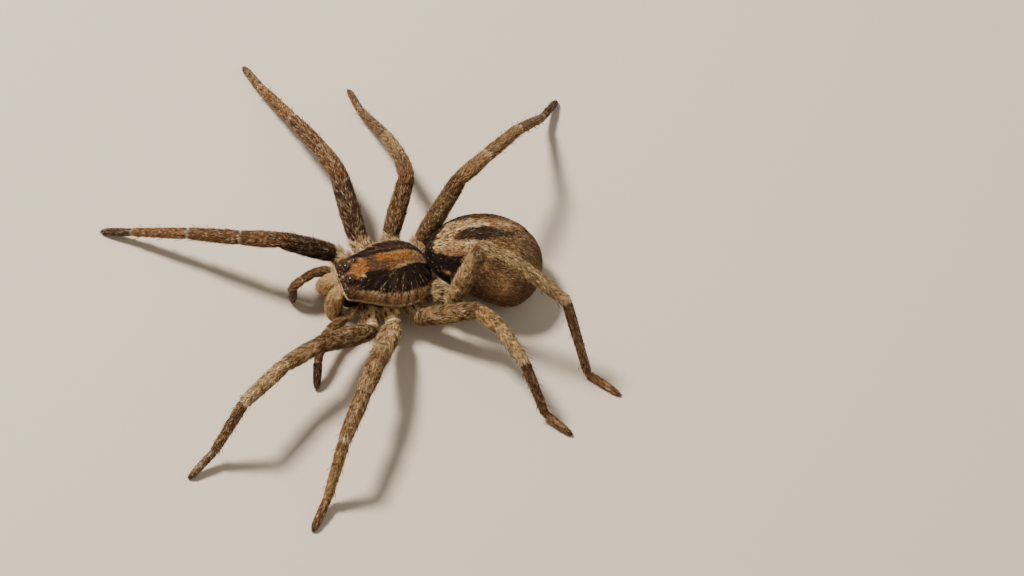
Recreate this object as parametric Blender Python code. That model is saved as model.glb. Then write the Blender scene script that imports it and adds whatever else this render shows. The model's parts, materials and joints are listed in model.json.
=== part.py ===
"""Adult female wolf spider, standing alert: the solid body, life size.

The head looks along -Y, the spider's left side is +X, up is +Z, and the floor is z = 0. Sizes are
written in millimetres and turned into metres as each mesh is made. Every piece of the body is one
closed solid: carapace, underside with the coxae, pedicel, abdomen, spinnerets, chelicerae, fangs,
palps, eight eyes, and five segments for each leg.
"""

import math

import bmesh
import bpy
from mathutils import Matrix, Vector

MM = 0.001
NAME = "wolf_spider"

# ---- whole body ---------------------------------------------------------------------------------
CENTRE_SHIFT = Vector((2.99, 1.556, 0.0))  # carries the box of the whole spider over the origin
GAP = 0.06                                 # between two pieces that meet
RIM_GAP = 0.12                             # between the carapace and what lies under it
CLEARANCE = 1.05                           # how much larger than the carapace the cut round it is
NOSE_UP = math.radians(8.0)                # the front of the prosoma is carried high
HEAD_TURN = math.radians(3.0)              # and turned a little to the left
RIM_HEIGHT = 4.1                           # carapace edge above the floor, at its middle
PROSOMA_PIVOT = Vector((0.0, -0.6, RIM_HEIGHT))
PROSOMA_SHIFT = Vector((0.35, -0.16, 0.0)) # the front half stands a little left of the middle line
COXA_HEIGHT = 2.4                          # where the coxae leave the underside, above the floor
SIDES = 12                                 # facets round a leg and the waist
SLIM_SIDES = 8                             # facets round a fang or a spinneret
FOLD = math.radians(50.0)                  # edges that turn more than this stay crisp
SIDE_SIGN = {"left": 1, "right": -1}

# ---- carapace: stations along the body, (y, half width, top and rim above the rim's middle,
# squareness). The rim rises at the front, over the jaws. -------------------------------------------
CARAPACE = (
    (-5.68, 2.05, 1.15, 0.70, 2.7),
    (-5.45, 2.42, 1.55, 0.64, 2.7),
    (-4.95, 2.56, 2.00, 0.47, 2.7),
    (-4.35, 2.61, 2.27, 0.28, 2.6),
    (-3.50, 2.81, 2.47, 0.00, 2.5),
    (-2.40, 3.26, 2.60, 0.00, 2.3),
    (-1.10, 3.78, 2.66, 0.00, 2.2),
    (0.30, 4.05, 2.62, 0.00, 2.1),
    (1.60, 3.99, 2.46, 0.00, 2.1),
    (2.70, 3.59, 2.10, 0.00, 2.1),
    (3.50, 3.00, 1.62, 0.00, 2.2),
    (4.05, 2.33, 1.08, 0.00, 2.3),
    (4.45, 1.55, 0.50, 0.00, 2.4),
)
ARCH_POINTS = 15

# ---- eyes: (x, y, height above the rim, radius), once for each side -----------------------------
EYES = {
    "anterior_median": (0.33, -5.56, 1.26, 0.19),
    "anterior_lateral": (0.94, -5.52, 1.22, 0.17),
    "posterior_median": (0.80, -4.80, 2.00, 0.43),
    "posterior_lateral": (1.30, -3.72, 2.08, 0.32),
}
SOCKET_PLAY = 0.03
LARGE_EYE = 0.25                           # eyes with a larger radius get more facets
EYE_FACETS = {"large": 14, "small": 10}

# ---- underside: (half width, y front, y rear, drop below the rim) -------------------------------
UNDERSIDE = (
    (1.55, -2.60, 2.20, 2.50),
    (1.95, -3.10, 2.70, 2.38),
    (2.60, -3.95, 3.30, 1.60),
    (3.00, -4.60, 3.75, 0.70),
    (3.30, -4.90, 4.10, RIM_GAP),
)
UNDERSIDE_SIDES = 20
MAXILLA = ((0.85, -4.05, 1.90), (0.62, 1.05, 0.85))   # centre and half sizes, on the left
MAXILLA_FACETS = 12

# ---- head appendages ----------------------------------------------------------------------------
CHELICERA = (                                # (centre x, y, z) and half sizes across and deep
    ((0.66, -5.52, 4.55), 0.45, 0.28),
    ((0.88, -5.95, 4.22), 0.80, 0.76),
    ((1.22, -6.30, 3.05), 0.90, 0.98),
    ((1.48, -6.34, 2.00), 0.86, 0.92),
    ((1.66, -6.22, 1.15), 0.70, 0.74),
    ((1.70, -6.12, 0.72), 0.42, 0.46),
)
CHELICERA_SIDES = 14
FANG = (                                     # (centre x, y, z) and radius, base to tip, folded in
    ((1.68, -6.02, 0.38), 0.28),
    ((1.42, -5.80, 0.32), 0.26),
    ((1.00, -5.45, 0.34), 0.20),
    ((0.66, -5.12, 0.48), 0.10),
)
PALP_RADII = (0.50, 0.56, 0.50, 0.50, 0.46, 0.28)
PALP_SIDES = 10
PALP_JOINTS = {
    "left": ((2.60, -4.70, 2.60), (3.15, -5.55, 2.50), (4.30, -7.60, 2.75),
             (5.50, -8.75, 2.85), (7.35, -9.70, 2.20), (9.45, -10.40, 0.25)),
    "right": ((2.05, -4.90, 2.60), (2.50, -5.80, 2.95), (2.10, -7.60, 3.90),
              (1.60, -8.85, 4.00), (1.53, -10.05, 2.90), (1.33, -10.05, 0.25)),
}

# ---- abdomen ------------------------------------------------------------------------------------
ABDOMEN_FRONT = Vector((-1.435, 4.30, 5.05))
ABDOMEN_LENGTH = 12.4
ABDOMEN_YAW = math.radians(25.0)             # the abdomen swings to the left
ABDOMEN_DROOP = math.radians(8.1)            # and its rear hangs low
ABDOMEN_HALF_WIDTH = 4.90
ABDOMEN_HALF_HEIGHT = 3.62
ABDOMEN_PROFILE = (                          # (part of the length, part of the full girth)
    (0.000, 0.20), (0.025, 0.28), (0.08, 0.49), (0.17, 0.69), (0.28, 0.84), (0.40, 0.93),
    (0.52, 0.99), (0.64, 1.00), (0.74, 0.98), (0.84, 0.86), (0.92, 0.66), (0.975, 0.41),
    (1.000, 0.20),
)
ABDOMEN_SIDES = 24
ABDOMEN_BOW = 0.65                           # how far its axis bows to the right
ABDOMEN_BOW_END = 0.83                       # and where along it the bow has run out
SPINNERETS = (                               # root and tip from the abdomen's rear end, radii
    ((-0.36, -1.05, -2.66), (-0.46, -0.76, -3.06), (0.40, 0.25)),
    ((0.36, -1.05, -2.66), (0.46, -0.76, -3.06), (0.40, 0.25)),
    ((-0.28, -0.66, -2.28), (-0.36, -0.22, -2.62), (0.36, 0.22)),
    ((0.28, -0.66, -2.28), (0.36, -0.22, -2.62), (0.36, 0.22)),
)
PEDICEL = ((-0.15, 4.10, 2.90), (-0.55, 4.80, 2.90), 0.38)

# ---- legs, front to rear: where the coxa starts and ends, and the segment lengths ---------------
SEGMENTS = ("femur", "patella", "tibia", "metatarsus", "tarsus")
COXA_START = {1: (1.55, -2.75), 2: (1.75, -0.85), 3: (1.70, 1.10), 4: (1.45, 2.75)}
COXA_END = {                                 # the trochanters
    "left": {1: (5.41, -3.37, 2.40), 2: (5.50, -1.00, 2.40), 3: (5.15, 2.10, 2.40),
             4: (4.51, 5.75, 3.65)},
    "right": {1: (4.70, -4.60, 2.40), 2: (5.45, -1.80, 2.40), 3: (5.10, 1.50, 2.40),
              4: (3.80, 4.46, 2.40)},
}
LENGTHS = {
    1: (7.8, 4.3, 6.3, 6.8, 3.65),
    2: (7.7, 4.0, 6.1, 6.7, 3.70),
    3: (6.9, 3.4, 4.75, 6.8, 3.50),
    4: (9.5, 3.8, 6.65, 9.9, 4.05),
}
GIRTH = {1: 1.00, 2: 1.08, 3: 0.95, 4: 0.96}
COXA_RADII = (1.12, 1.10, 0.86)
SEGMENT_RADII = {                            # (part of the length, radius), every profile convex
    "femur": ((0.0, 0.86), (0.14, 0.97), (0.42, 1.02), (0.80, 0.93), (1.0, 0.80)),
    "patella": ((0.0, 0.80), (0.45, 0.87), (1.0, 0.74)),
    "tibia": ((0.0, 0.74), (0.30, 0.76), (0.75, 0.69), (1.0, 0.60)),
    "metatarsus": ((0.0, 0.60), (0.22, 0.59), (0.70, 0.52), (1.0, 0.46)),
    "tarsus": ((0.0, 0.46), (0.40, 0.455), (0.80, 0.41), (1.0, 0.30)),
}
TIP_HEIGHT = 0.26                            # centre of a tarsus tip; its sole is cut flat at z = 0

# The stance, in degrees. "ahead" turns each segment forward (+) or back (-) from straight out to
# the side; "pitch" lifts femur, patella, tibia and tarsus. The metatarsus drops to reach the floor.
STANCE = {
    ("left", 1): {"ahead": (70, 68, 56, 63, 64), "pitch": (29, 5, 5, -24)},
    ("left", 2): {"ahead": (32, 34, 35, 39, 40), "pitch": (28, 9, 0, -15)},
    ("left", 3): {"ahead": (-62, -26, -15, -25, -38), "pitch": (32, 12, 0, -12)},
    ("left", 4): {"ahead": (-86, -53, -46, -23, -39), "pitch": (74.4, -7.4, -26, -3.4)},
    ("right", 1): {"ahead": (90, 62, 56, 58, 61), "pitch": (41, -15, -21, -19)},
    ("right", 2): {"ahead": (3, 12, 16, 18, 15), "pitch": (25, -13, -17, -12)},
    ("right", 3): {"ahead": (-36, -5, 5, 11, 6), "pitch": (46, -19, -25, -12)},
    ("right", 4): {"ahead": (-72, -64, -51, -42, -43), "pitch": (61, 11, -22, -24)},
}

# ---- colours ------------------------------------------------------------------------------------
COLOURS = {
    "carapace": (0.115, 0.055, 0.022), "underside": (0.070, 0.045, 0.028),
    "abdomen": (0.150, 0.095, 0.052), "leg": (0.185, 0.100, 0.045),
    "tarsus": (0.060, 0.036, 0.022), "chelicera": (0.330, 0.180, 0.060),
    "fang": (0.030, 0.012, 0.008), "palp": (0.110, 0.060, 0.028), "eye": (0.008, 0.006, 0.006),
}
ROUGHNESS = {"fang": 0.15, "eye": 0.08}
HAIRY_ROUGHNESS = 0.72


def clear_scene():
    for obj in list(bpy.data.objects):
        bpy.data.objects.remove(obj, do_unlink=True)


def new_collection(name):
    collection = bpy.data.collections.new(name)
    bpy.context.scene.collection.children.link(collection)
    return collection


def paint(obj, kind):
    """Give the object a material of its own, in the colour of its kind."""
    material = bpy.data.materials.new(obj.name)
    material.use_nodes = True
    shader = material.node_tree.nodes["Principled BSDF"]
    shader.inputs["Base Color"].default_value = (*COLOURS[kind], 1.0)
    shader.inputs["Roughness"].default_value = ROUGHNESS.get(kind, HAIRY_ROUGHNESS)
    shader.inputs["Metallic"].default_value = 0.0
    obj.data.materials.append(material)


def add_object(name, bm, kind, collection):
    """Turn a mesh in millimetres into an object in metres, with its normals facing out."""
    bmesh.ops.recalc_face_normals(bm, faces=bm.faces)
    bmesh.ops.translate(bm, vec=CENTRE_SHIFT, verts=bm.verts)
    bmesh.ops.scale(bm, vec=(MM, MM, MM), verts=bm.verts)
    mesh = bpy.data.meshes.new(name)
    bm.to_mesh(mesh)
    bm.free()
    mesh.shade_smooth()
    mesh.set_sharp_from_angle(angle=FOLD)
    obj = bpy.data.objects.new(name, mesh)
    collection.objects.link(obj)
    paint(obj, kind)
    return obj


def add_loft(bm, rings):
    """Close a skin over rings of equal count, which may differ in size, shape and tilt."""
    rows = [[bm.verts.new(point) for point in ring] for ring in rings]
    count = len(rows[0])
    for row, following in zip(rows, rows[1:]):
        for k in range(count):
            after = (k + 1) % count
            bm.faces.new((row[k], row[after], following[after], following[k]))
    bm.faces.new(list(reversed(rows[0])))
    bm.faces.new(rows[-1])


def circle(centre, across, over, half_across, half_over, sides):
    turns = [2 * math.pi * k / sides for k in range(sides)]
    return [centre + across * (half_across * math.cos(t)) + over * (half_over * math.sin(t))
            for t in turns]


def mirrored(point, side):
    return Vector((point[0] * SIDE_SIGN[side], point[1], point[2]))


def prosoma_matrix():
    """Tips and turns the level prosoma about its middle, at the height of its rim."""
    tilt = Matrix.Rotation(HEAD_TURN, 4, "Z") @ Matrix.Rotation(-NOSE_UP, 4, "X")
    carried = Matrix.Translation(PROSOMA_PIVOT + PROSOMA_SHIFT)
    return carried @ tilt @ Matrix.Translation(-PROSOMA_PIVOT)


def carapace_mesh():
    """A dome of D-shaped sections, widest behind the middle, with a steep face."""
    bm = bmesh.new()
    rings = []
    for y, half_width, top, rim, squareness in CARAPACE:
        power = 2 / squareness
        ring = []
        for k in range(ARCH_POINTS):
            turn = math.pi * k / (ARCH_POINTS - 1)
            x = half_width * math.copysign(abs(math.cos(turn)) ** power, math.cos(turn))
            z = RIM_HEIGHT + rim + (top - rim) * math.sin(turn) ** power
            ring.append(Vector((x, y, z)))
        rings.append(ring)
    add_loft(bm, rings)
    bmesh.ops.transform(bm, matrix=prosoma_matrix(), verts=bm.verts)
    return bm


def ball_mesh(centre, radius, facets):
    bm = bmesh.new()
    bmesh.ops.create_uvsphere(bm, u_segments=facets, v_segments=facets // 2 + 1, radius=radius)
    bmesh.ops.translate(bm, vec=centre, verts=bm.verts)
    return bm


def join_modifier(obj, other, operation):
    modifier = obj.modifiers.new(operation.title(), "BOOLEAN")
    modifier.operation = operation
    modifier.solver = "EXACT"
    modifier.object = other


def make_helper(obj):
    obj.hide_render = True
    obj.display_type = "WIRE"
    return obj


def build_carapace_and_eyes(parts, cutters):
    carapace = add_object("carapace", carapace_mesh(), "carapace", parts)
    for kind, (x, y, height, radius) in EYES.items():
        facets = EYE_FACETS["large" if radius > LARGE_EYE else "small"]
        for side in SIDE_SIGN:
            centre = prosoma_matrix() @ mirrored((x, y, RIM_HEIGHT + height), side)
            name = f"eye_{kind}_{side}"
            add_object(name, ball_mesh(centre, radius, facets), "eye", parts)
            hole = ball_mesh(centre, radius + SOCKET_PLAY, facets)
            cutter = make_helper(add_object(f"socket_{kind}_{side}", hole, "eye", cutters))
            join_modifier(carapace, cutter, "DIFFERENCE")


def underside_mesh():
    """The sternum, and the soft flanks that rise from it to the carapace's rim."""
    bm = bmesh.new()
    rings = []
    for half_width, front, rear, drop in UNDERSIDE:
        centre = Vector((0, (front + rear) / 2, RIM_HEIGHT - drop))
        rings.append(circle(centre, Vector((1, 0, 0)), Vector((0, 1, 0)),
                            half_width, (rear - front) / 2, UNDERSIDE_SIDES))
    add_loft(bm, rings)
    bmesh.ops.transform(bm, matrix=prosoma_matrix(), verts=bm.verts)
    return bm


def frame_of(direction):
    """Two unit vectors square to a direction: one level, one over it."""
    level = direction.cross(Vector((0, 0, 1))).normalized()
    return level, level.cross(direction)


def mitred_ring(centre, direction, plane_normal, frame, radius, sides):
    """A round section along a direction, cut by a plane that may be tilted to it."""
    ring = []
    for point in circle(Vector((0, 0, 0)), frame[0], frame[1], radius, radius, sides):
        slide = -point.dot(plane_normal) / direction.dot(plane_normal)
        ring.append(centre + point + direction * slide)
    return ring


def chain_rings(joints, profiles, sides=SIDES):
    """Rings of each segment along a chain of joints. Segments share a mitre plane at a joint."""
    directions = [(b - a).normalized() for a, b in zip(joints, joints[1:])]
    normals = [directions[0]]
    normals += [(a + b).normalized() for a, b in zip(directions, directions[1:])]
    normals.append(directions[-1])
    frame = frame_of(directions[0])
    segments = []
    for k, direction in enumerate(directions):
        if k:
            turn = directions[k - 1].rotation_difference(direction)
            frame = (turn @ frame[0], turn @ frame[1])
        rings = []
        for part, radius in profiles[k]:
            centre = joints[k].lerp(joints[k + 1], part)
            normal = direction
            if part == 0:
                normal = normals[k]
                centre = centre + normal * (GAP / 2)
            elif part == 1:
                normal = normals[k + 1]
                centre = centre - normal * (GAP / 2)
            rings.append(mitred_ring(centre, direction, normal, frame, radius, sides))
        segments.append(rings)
    return segments


def bent_tube(joints, radii, sides):
    """One closed tube through the joints, as thick at each as its radius says."""
    profiles = [[(0.0, near), (1.0, far)] for near, far in zip(radii, radii[1:])]
    links = chain_rings(joints, profiles, sides)
    bm = bmesh.new()
    add_loft(bm, [links[0][0]] + [rings[1] for rings in links])
    return bm


def heading(ahead, pitch, side):
    """Unit direction of a segment, from its turn ahead of straight out and its lift."""
    ahead, pitch = math.radians(ahead), math.radians(pitch)
    out = Vector((math.cos(ahead) * SIDE_SIGN[side], -math.sin(ahead), 0))
    return out * math.cos(pitch) + Vector((0, 0, math.sin(pitch)))


def leg_joints(side, number):
    """Coxa root, trochanter, knee and so on to the tip, which ends just above the floor."""
    lengths = LENGTHS[number]
    ahead = STANCE[side, number]["ahead"]
    femur, patella, tibia, tarsus = STANCE[side, number]["pitch"]
    joints = [mirrored((*COXA_START[number], COXA_HEIGHT), side),
              mirrored(COXA_END[side][number], side)]
    for k, pitch in enumerate((femur, patella, tibia)):
        joints.append(joints[-1] + heading(ahead[k], pitch, side) * lengths[k])
    tarsus_drop = -lengths[4] * math.sin(math.radians(tarsus))
    drop = joints[-1].z - TIP_HEIGHT - tarsus_drop
    metatarsus = -math.degrees(math.asin(drop / lengths[3]))
    joints.append(joints[-1] + heading(ahead[3], metatarsus, side) * lengths[3])
    joints.append(joints[-1] + heading(ahead[4], tarsus, side) * lengths[4])
    return joints


def cut_sole(bm):
    """Cuts off what lies below the floor and closes the cut with a flat sole."""
    everything = list(bm.verts) + list(bm.edges) + list(bm.faces)
    bmesh.ops.bisect_plane(bm, geom=everything, plane_co=(0, 0, 0), plane_no=(0, 0, 1),
                           clear_inner=True)
    open_edges = [edge for edge in bm.edges if len(edge.link_faces) == 1]
    bmesh.ops.holes_fill(bm, edges=open_edges, sides=0)


def build_leg(side, number, parts, cutters):
    """Five segments of one leg. Returns its coxa, which joins the underside."""
    joints = leg_joints(side, number)
    girth = GIRTH[number]
    profiles = [[(0.0, COXA_RADII[0]), (0.55, COXA_RADII[1]), (1.0, COXA_RADII[2] * girth)]]
    profiles += [[(part, radius * girth) for part, radius in SEGMENT_RADII[segment]]
                 for segment in SEGMENTS]
    coxa, *segments = chain_rings(joints, profiles)
    for segment, rings in zip(SEGMENTS, segments):
        bm = bmesh.new()
        add_loft(bm, rings)
        if segment == "tarsus":
            cut_sole(bm)
        kind = "tarsus" if segment == "tarsus" else "leg"
        add_object(f"leg_{side}_{number}_{segment}", bm, kind, parts)
    bm = bmesh.new()
    add_loft(bm, coxa)
    return make_helper(add_object(f"coxa_{side}_{number}", bm, "underside", cutters))


def build_underside(parts, cutters, coxae):
    underside = add_object("underside", underside_mesh(), "underside", parts)
    for side in SIDE_SIGN:
        bm = ball_mesh((0, 0, 0), 1.0, MAXILLA_FACETS)
        centre, half_sizes = MAXILLA
        bmesh.ops.scale(bm, vec=half_sizes, verts=bm.verts)
        bmesh.ops.translate(bm, vec=mirrored(centre, side), verts=bm.verts)
        bmesh.ops.transform(bm, matrix=prosoma_matrix(), verts=bm.verts)
        lobe = make_helper(add_object(f"maxilla_{side}", bm, "underside", cutters))
        join_modifier(underside, lobe, "UNION")
    for coxa in coxae:
        join_modifier(underside, coxa, "UNION")
    room = carapace_mesh()
    bmesh.ops.scale(room, vec=(CLEARANCE, CLEARANCE, CLEARANCE), verts=room.verts,
                    space=Matrix.Translation(-(PROSOMA_PIVOT + PROSOMA_SHIFT)))
    bmesh.ops.translate(room, vec=(0, 0, -RIM_GAP), verts=room.verts)
    clearance = make_helper(add_object("clearance", room, "carapace", cutters))
    join_modifier(underside, clearance, "DIFFERENCE")


def build_chelicera(side, parts):
    """The basal segment hangs from under the face, bulging forward, with the fang folded in."""
    bm = bmesh.new()
    rings = [circle(mirrored(centre, side), Vector((1, 0, 0)), Vector((0, 1, 0)),
                    half_across, half_deep, CHELICERA_SIDES)
             for centre, half_across, half_deep in CHELICERA]
    add_loft(bm, rings)
    bmesh.ops.transform(bm, matrix=prosoma_matrix(), verts=bm.verts)
    add_object(f"chelicera_{side}", bm, "chelicera", parts)
    fang = bent_tube([mirrored(centre, side) for centre, _ in FANG],
                     [radius for _, radius in FANG], SLIM_SIDES)
    bmesh.ops.transform(fang, matrix=prosoma_matrix(), verts=fang.verts)
    add_object(f"fang_{side}", fang, "fang", parts)


def build_palp(side, parts):
    """A short leg beside the mouth, bent like a leg, its tip resting on the floor."""
    palp = bent_tube([mirrored(point, side) for point in PALP_JOINTS[side]],
                     PALP_RADII, PALP_SIDES)
    cut_sole(palp)
    add_object(f"palp_{side}", palp, "palp", parts)


def abdomen_matrix():
    turned = Matrix.Rotation(-ABDOMEN_YAW, 4, "Z") @ Matrix.Rotation(-ABDOMEN_DROOP, 4, "X")
    return Matrix.Translation(ABDOMEN_FRONT) @ turned


def build_abdomen(parts):
    """An egg lying along the body, fullest behind its middle, its back end rounded off."""
    bm = bmesh.new()
    rings = []
    for part, girth in ABDOMEN_PROFILE:
        bow = ABDOMEN_BOW * math.sin(math.pi * min(1.0, part / ABDOMEN_BOW_END))
        centre = Vector((-bow, part * ABDOMEN_LENGTH, 0))
        rings.append(circle(centre, Vector((1, 0, 0)), Vector((0, 0, 1)),
                            ABDOMEN_HALF_WIDTH * girth, ABDOMEN_HALF_HEIGHT * girth,
                            ABDOMEN_SIDES))
    add_loft(bm, rings)
    bmesh.ops.transform(bm, matrix=abdomen_matrix(), verts=bm.verts)
    add_object("abdomen", bm, "abdomen", parts)


def build_spinnerets(parts, cutters):
    """Four short cones in one cluster under the back end of the abdomen."""
    rear = abdomen_matrix() @ Matrix.Translation((0, ABDOMEN_LENGTH, 0))
    cones = [bent_tube([rear @ Vector(root), rear @ Vector(tip)], radii, SLIM_SIDES)
             for root, tip, radii in SPINNERETS]
    first = add_object("spinnerets", cones[0], "abdomen", parts)
    for number, cone in enumerate(cones[1:]):
        other = make_helper(add_object(f"spinneret_{number}", cone, "abdomen", cutters))
        join_modifier(first, other, "UNION")


def build_pedicel(parts):
    """The narrow waist, its two ends upright."""
    *ends, radius = PEDICEL
    bm = bmesh.new()
    add_loft(bm, [circle(Vector(end), Vector((1, 0, 0)), Vector((0, 0, 1)), radius, radius, SIDES)
                  for end in ends])
    add_object("pedicel", bm, "underside", parts)


def main():
    clear_scene()
    parts = new_collection(NAME)
    cutters = new_collection("helpers")
    cutters.hide_render = True
    build_carapace_and_eyes(parts, cutters)
    coxae = [build_leg(side, number, parts, cutters)
             for side in SIDE_SIGN for number in LENGTHS]
    build_underside(parts, cutters, coxae)
    for side in SIDE_SIGN:
        build_chelicera(side, parts)
        build_palp(side, parts)
    build_pedicel(parts)
    build_abdomen(parts)
    build_spinnerets(parts, cutters)


main()
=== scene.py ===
# %% [markdown]
# # A wolf spider, hair by hair
#
# A live wolf spider is a small dark animal under a dense coat. This lesson dresses a plain solid
# spider in three layers: a smooth **skin**, a **coat** of tens of thousands of tiny solid tufts, and
# the hard pieces that stay bare, which are eyes, fangs, claws and spines. Every surface is a
# function of two numbers, how far along it a point lies and how far round, so that skin, coat and
# markings can all ask the same function and never disagree.

# %% load the solid spider
import json
import math

import bmesh
import bpy
import numpy as np
from mathutils import Matrix, Vector, noise

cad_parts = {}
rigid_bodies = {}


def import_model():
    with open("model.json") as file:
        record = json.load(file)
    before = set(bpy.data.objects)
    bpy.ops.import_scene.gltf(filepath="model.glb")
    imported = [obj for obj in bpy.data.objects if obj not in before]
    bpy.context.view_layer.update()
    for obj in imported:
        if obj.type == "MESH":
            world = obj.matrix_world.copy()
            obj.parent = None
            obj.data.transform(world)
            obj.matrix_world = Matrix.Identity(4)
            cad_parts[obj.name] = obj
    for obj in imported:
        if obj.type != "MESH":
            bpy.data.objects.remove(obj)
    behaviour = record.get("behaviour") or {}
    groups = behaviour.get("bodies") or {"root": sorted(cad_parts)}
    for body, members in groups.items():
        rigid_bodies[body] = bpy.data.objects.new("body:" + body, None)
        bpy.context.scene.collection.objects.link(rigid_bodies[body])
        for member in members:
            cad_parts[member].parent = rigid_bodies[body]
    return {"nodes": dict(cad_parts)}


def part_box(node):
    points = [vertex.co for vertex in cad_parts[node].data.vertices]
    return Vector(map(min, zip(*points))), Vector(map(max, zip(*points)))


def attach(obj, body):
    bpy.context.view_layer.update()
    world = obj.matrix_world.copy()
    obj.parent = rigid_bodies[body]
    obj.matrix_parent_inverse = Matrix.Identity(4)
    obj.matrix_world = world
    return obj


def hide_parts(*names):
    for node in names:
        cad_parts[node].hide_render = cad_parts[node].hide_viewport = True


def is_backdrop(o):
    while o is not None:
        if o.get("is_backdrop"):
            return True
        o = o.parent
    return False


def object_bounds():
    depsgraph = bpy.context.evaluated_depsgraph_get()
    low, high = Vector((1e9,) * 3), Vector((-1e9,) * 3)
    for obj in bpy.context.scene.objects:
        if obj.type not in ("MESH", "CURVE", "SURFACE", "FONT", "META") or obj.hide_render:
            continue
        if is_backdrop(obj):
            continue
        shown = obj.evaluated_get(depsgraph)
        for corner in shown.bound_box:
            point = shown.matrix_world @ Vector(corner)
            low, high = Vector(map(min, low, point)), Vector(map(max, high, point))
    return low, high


for startup_object in list(bpy.data.objects):
    bpy.data.objects.remove(startup_object, do_unlink=True)
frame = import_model()
cad_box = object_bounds()
MM = 0.001
print("solid nodes:", len(frame["nodes"]), "box in mm:", [round(c / MM, 2) for c in cad_box[1] - cad_box[0]])

# %% [markdown]
# ## Where things are
#
# The solids already stand in the right place, so the joints are measured on them and not typed in
# again. A leg segment is a long body, and its two ends are the two groups of corners that lie
# furthest apart along it. A joint is halfway between the end of one segment and the start of the
# next.

# %% corners, ends and joints
SIGN = {"left": 1, "right": -1}
SIDES = tuple(SIGN)
SEGMENTS = ("femur", "patella", "tibia", "metatarsus", "tarsus")
LEG_RING, BODY_RING = 12, 24     # corners in one end of a leg segment and of the abdomen


def corners(node):
    """Every corner of a solid node once, in metres."""
    mesh = frame["nodes"][node].data
    found = np.empty(len(mesh.vertices) * 3)
    mesh.vertices.foreach_get("co", found)
    return np.unique(found.reshape(-1, 3).round(7), axis=0)


def long_ends(node, ring=LEG_RING):
    """The middles of the two end rings of a long body."""
    points = corners(node)
    offsets = points - points.mean(0)
    axis = np.linalg.svd(offsets, full_matrices=False)[2][0]
    order = np.argsort(offsets @ axis)
    return [points[order[:ring]].mean(0), points[order[-ring:]].mean(0)]


def nearer(ends, target):
    """The ends, the one nearer the target first."""
    return sorted(ends, key=lambda end: np.linalg.norm(end - target))


def leg_joints(side, number):
    """Trochanter, knee and so on, down to the middle of the tarsus tip."""
    names = [f"leg_{side}_{number}_{segment}" for segment in SEGMENTS]
    middles = [corners(name).mean(0) for name in names]
    body = corners("underside").mean(0)
    joints = []
    for k, name in enumerate(names):
        before = middles[k - 1] if k else body
        start, end = nearer(long_ends(name), before)
        if k:
            joints[-1] = (joints[-1] + start) / 2
        else:
            joints.append(start)
        joints.append(end)
    return joints


LEGS = {(side, number): leg_joints(side, number) for side in SIDES for number in (1, 2, 3, 4)}
print("a leg has", len(LEGS["left", 1]), "joints; its foot is", (LEGS["left", 1][-1] / MM).round(2))

# %% [markdown]
# ## The front half's own frame
#
# The carapace is carried nose up and turned a little. It is easiest to shape it level, in
# millimetres, with x to the spider's left, y to the rear and z up from the rim, and then let one
# matrix carry it into place. The turn comes from the line between the two rear side eyes, and the
# place from the carapace itself.

# %% the prosoma's frame
NOSE_UP = math.radians(8.0)
CARAPACE_FRONT = -5.68                           # in its own frame
EYE_SIGHT = {                                    # which way each kind of eye looks there, x outwards
    "anterior_median": (0.1, -1.0, 0.25), "anterior_lateral": (0.5, -1.0, 0.15),
    "posterior_median": (0.35, -1.0, 0.75), "posterior_lateral": (0.9, -0.35, 0.9),
}


def eye_place(kind, side):
    """The middle and the extent of an eye's solid, in metres."""
    lowest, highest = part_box(f"eye_{kind}_{side}")
    return (lowest + highest) / 2, highest - lowest


eye_left, eye_right = (eye_place("posterior_lateral", side)[0] for side in SIDES)
sideways = (eye_left - eye_right).normalized()
head_turn = math.atan2(sideways.y, sideways.x)
tilt = Matrix.Rotation(head_turn, 3, "Z") @ Matrix.Rotation(-NOSE_UP, 3, "X")
level = corners("carapace") @ np.array(tilt)
low, high = level.min(0), level.max(0)
origin = Vector(((low[0] + high[0]) / 2, low[1] - CARAPACE_FRONT * MM, low[2]))
PROSOMA = (tilt @ Matrix.Scale(MM, 3)).to_4x4()
PROSOMA.translation = tilt @ origin


def carried(points, matrix):
    """Points in a part's own frame, carried into the spider's."""
    m = np.array(matrix)
    return points @ m[:3, :3].T + m[:3, 3]


print("head turned by", round(math.degrees(head_turn), 2), "degrees, rim box", ((high - low) / MM).round(2))

# %% [markdown]
# ## Camera, floor and light
#
# The spider is seen from its left and from well above, with a long lens that keeps the near and the
# far legs nearly the same size. It stands a little to the left in the frame, and the view leans a
# few degrees. The floor is plain and pale. One large soft lamp stands high beyond the head, and a
# weak one and the pale surroundings fill the shadows.

# %% camera
AZIMUTH, ELEVATION, LEAN = (math.radians(a) for a in (68.5, 58.5, 5.7))
DISTANCE, ASIDE, ABOVE = 0.416, 0.0130, 0.0005   # of the lens; of the frame's middle from the waist
LENS, SENSOR = 138.9, 36.0
back = Vector((math.sin(AZIMUTH) * math.cos(ELEVATION), -math.cos(AZIMUTH) * math.cos(ELEVATION),
               math.sin(ELEVATION)))
level_right = Vector((math.cos(AZIMUTH), math.sin(AZIMUTH), 0))
right = Matrix.Rotation(LEAN, 3, back) @ level_right
up = back.cross(right)
FLOOR_POINT = Vector((2.99 * MM, 1.556 * MM, 0))     # under the waist


def placed(name, data):
    """A new object in the scene."""
    obj = bpy.data.objects.new(name, data)
    bpy.context.scene.collection.objects.link(obj)
    return obj


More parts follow.
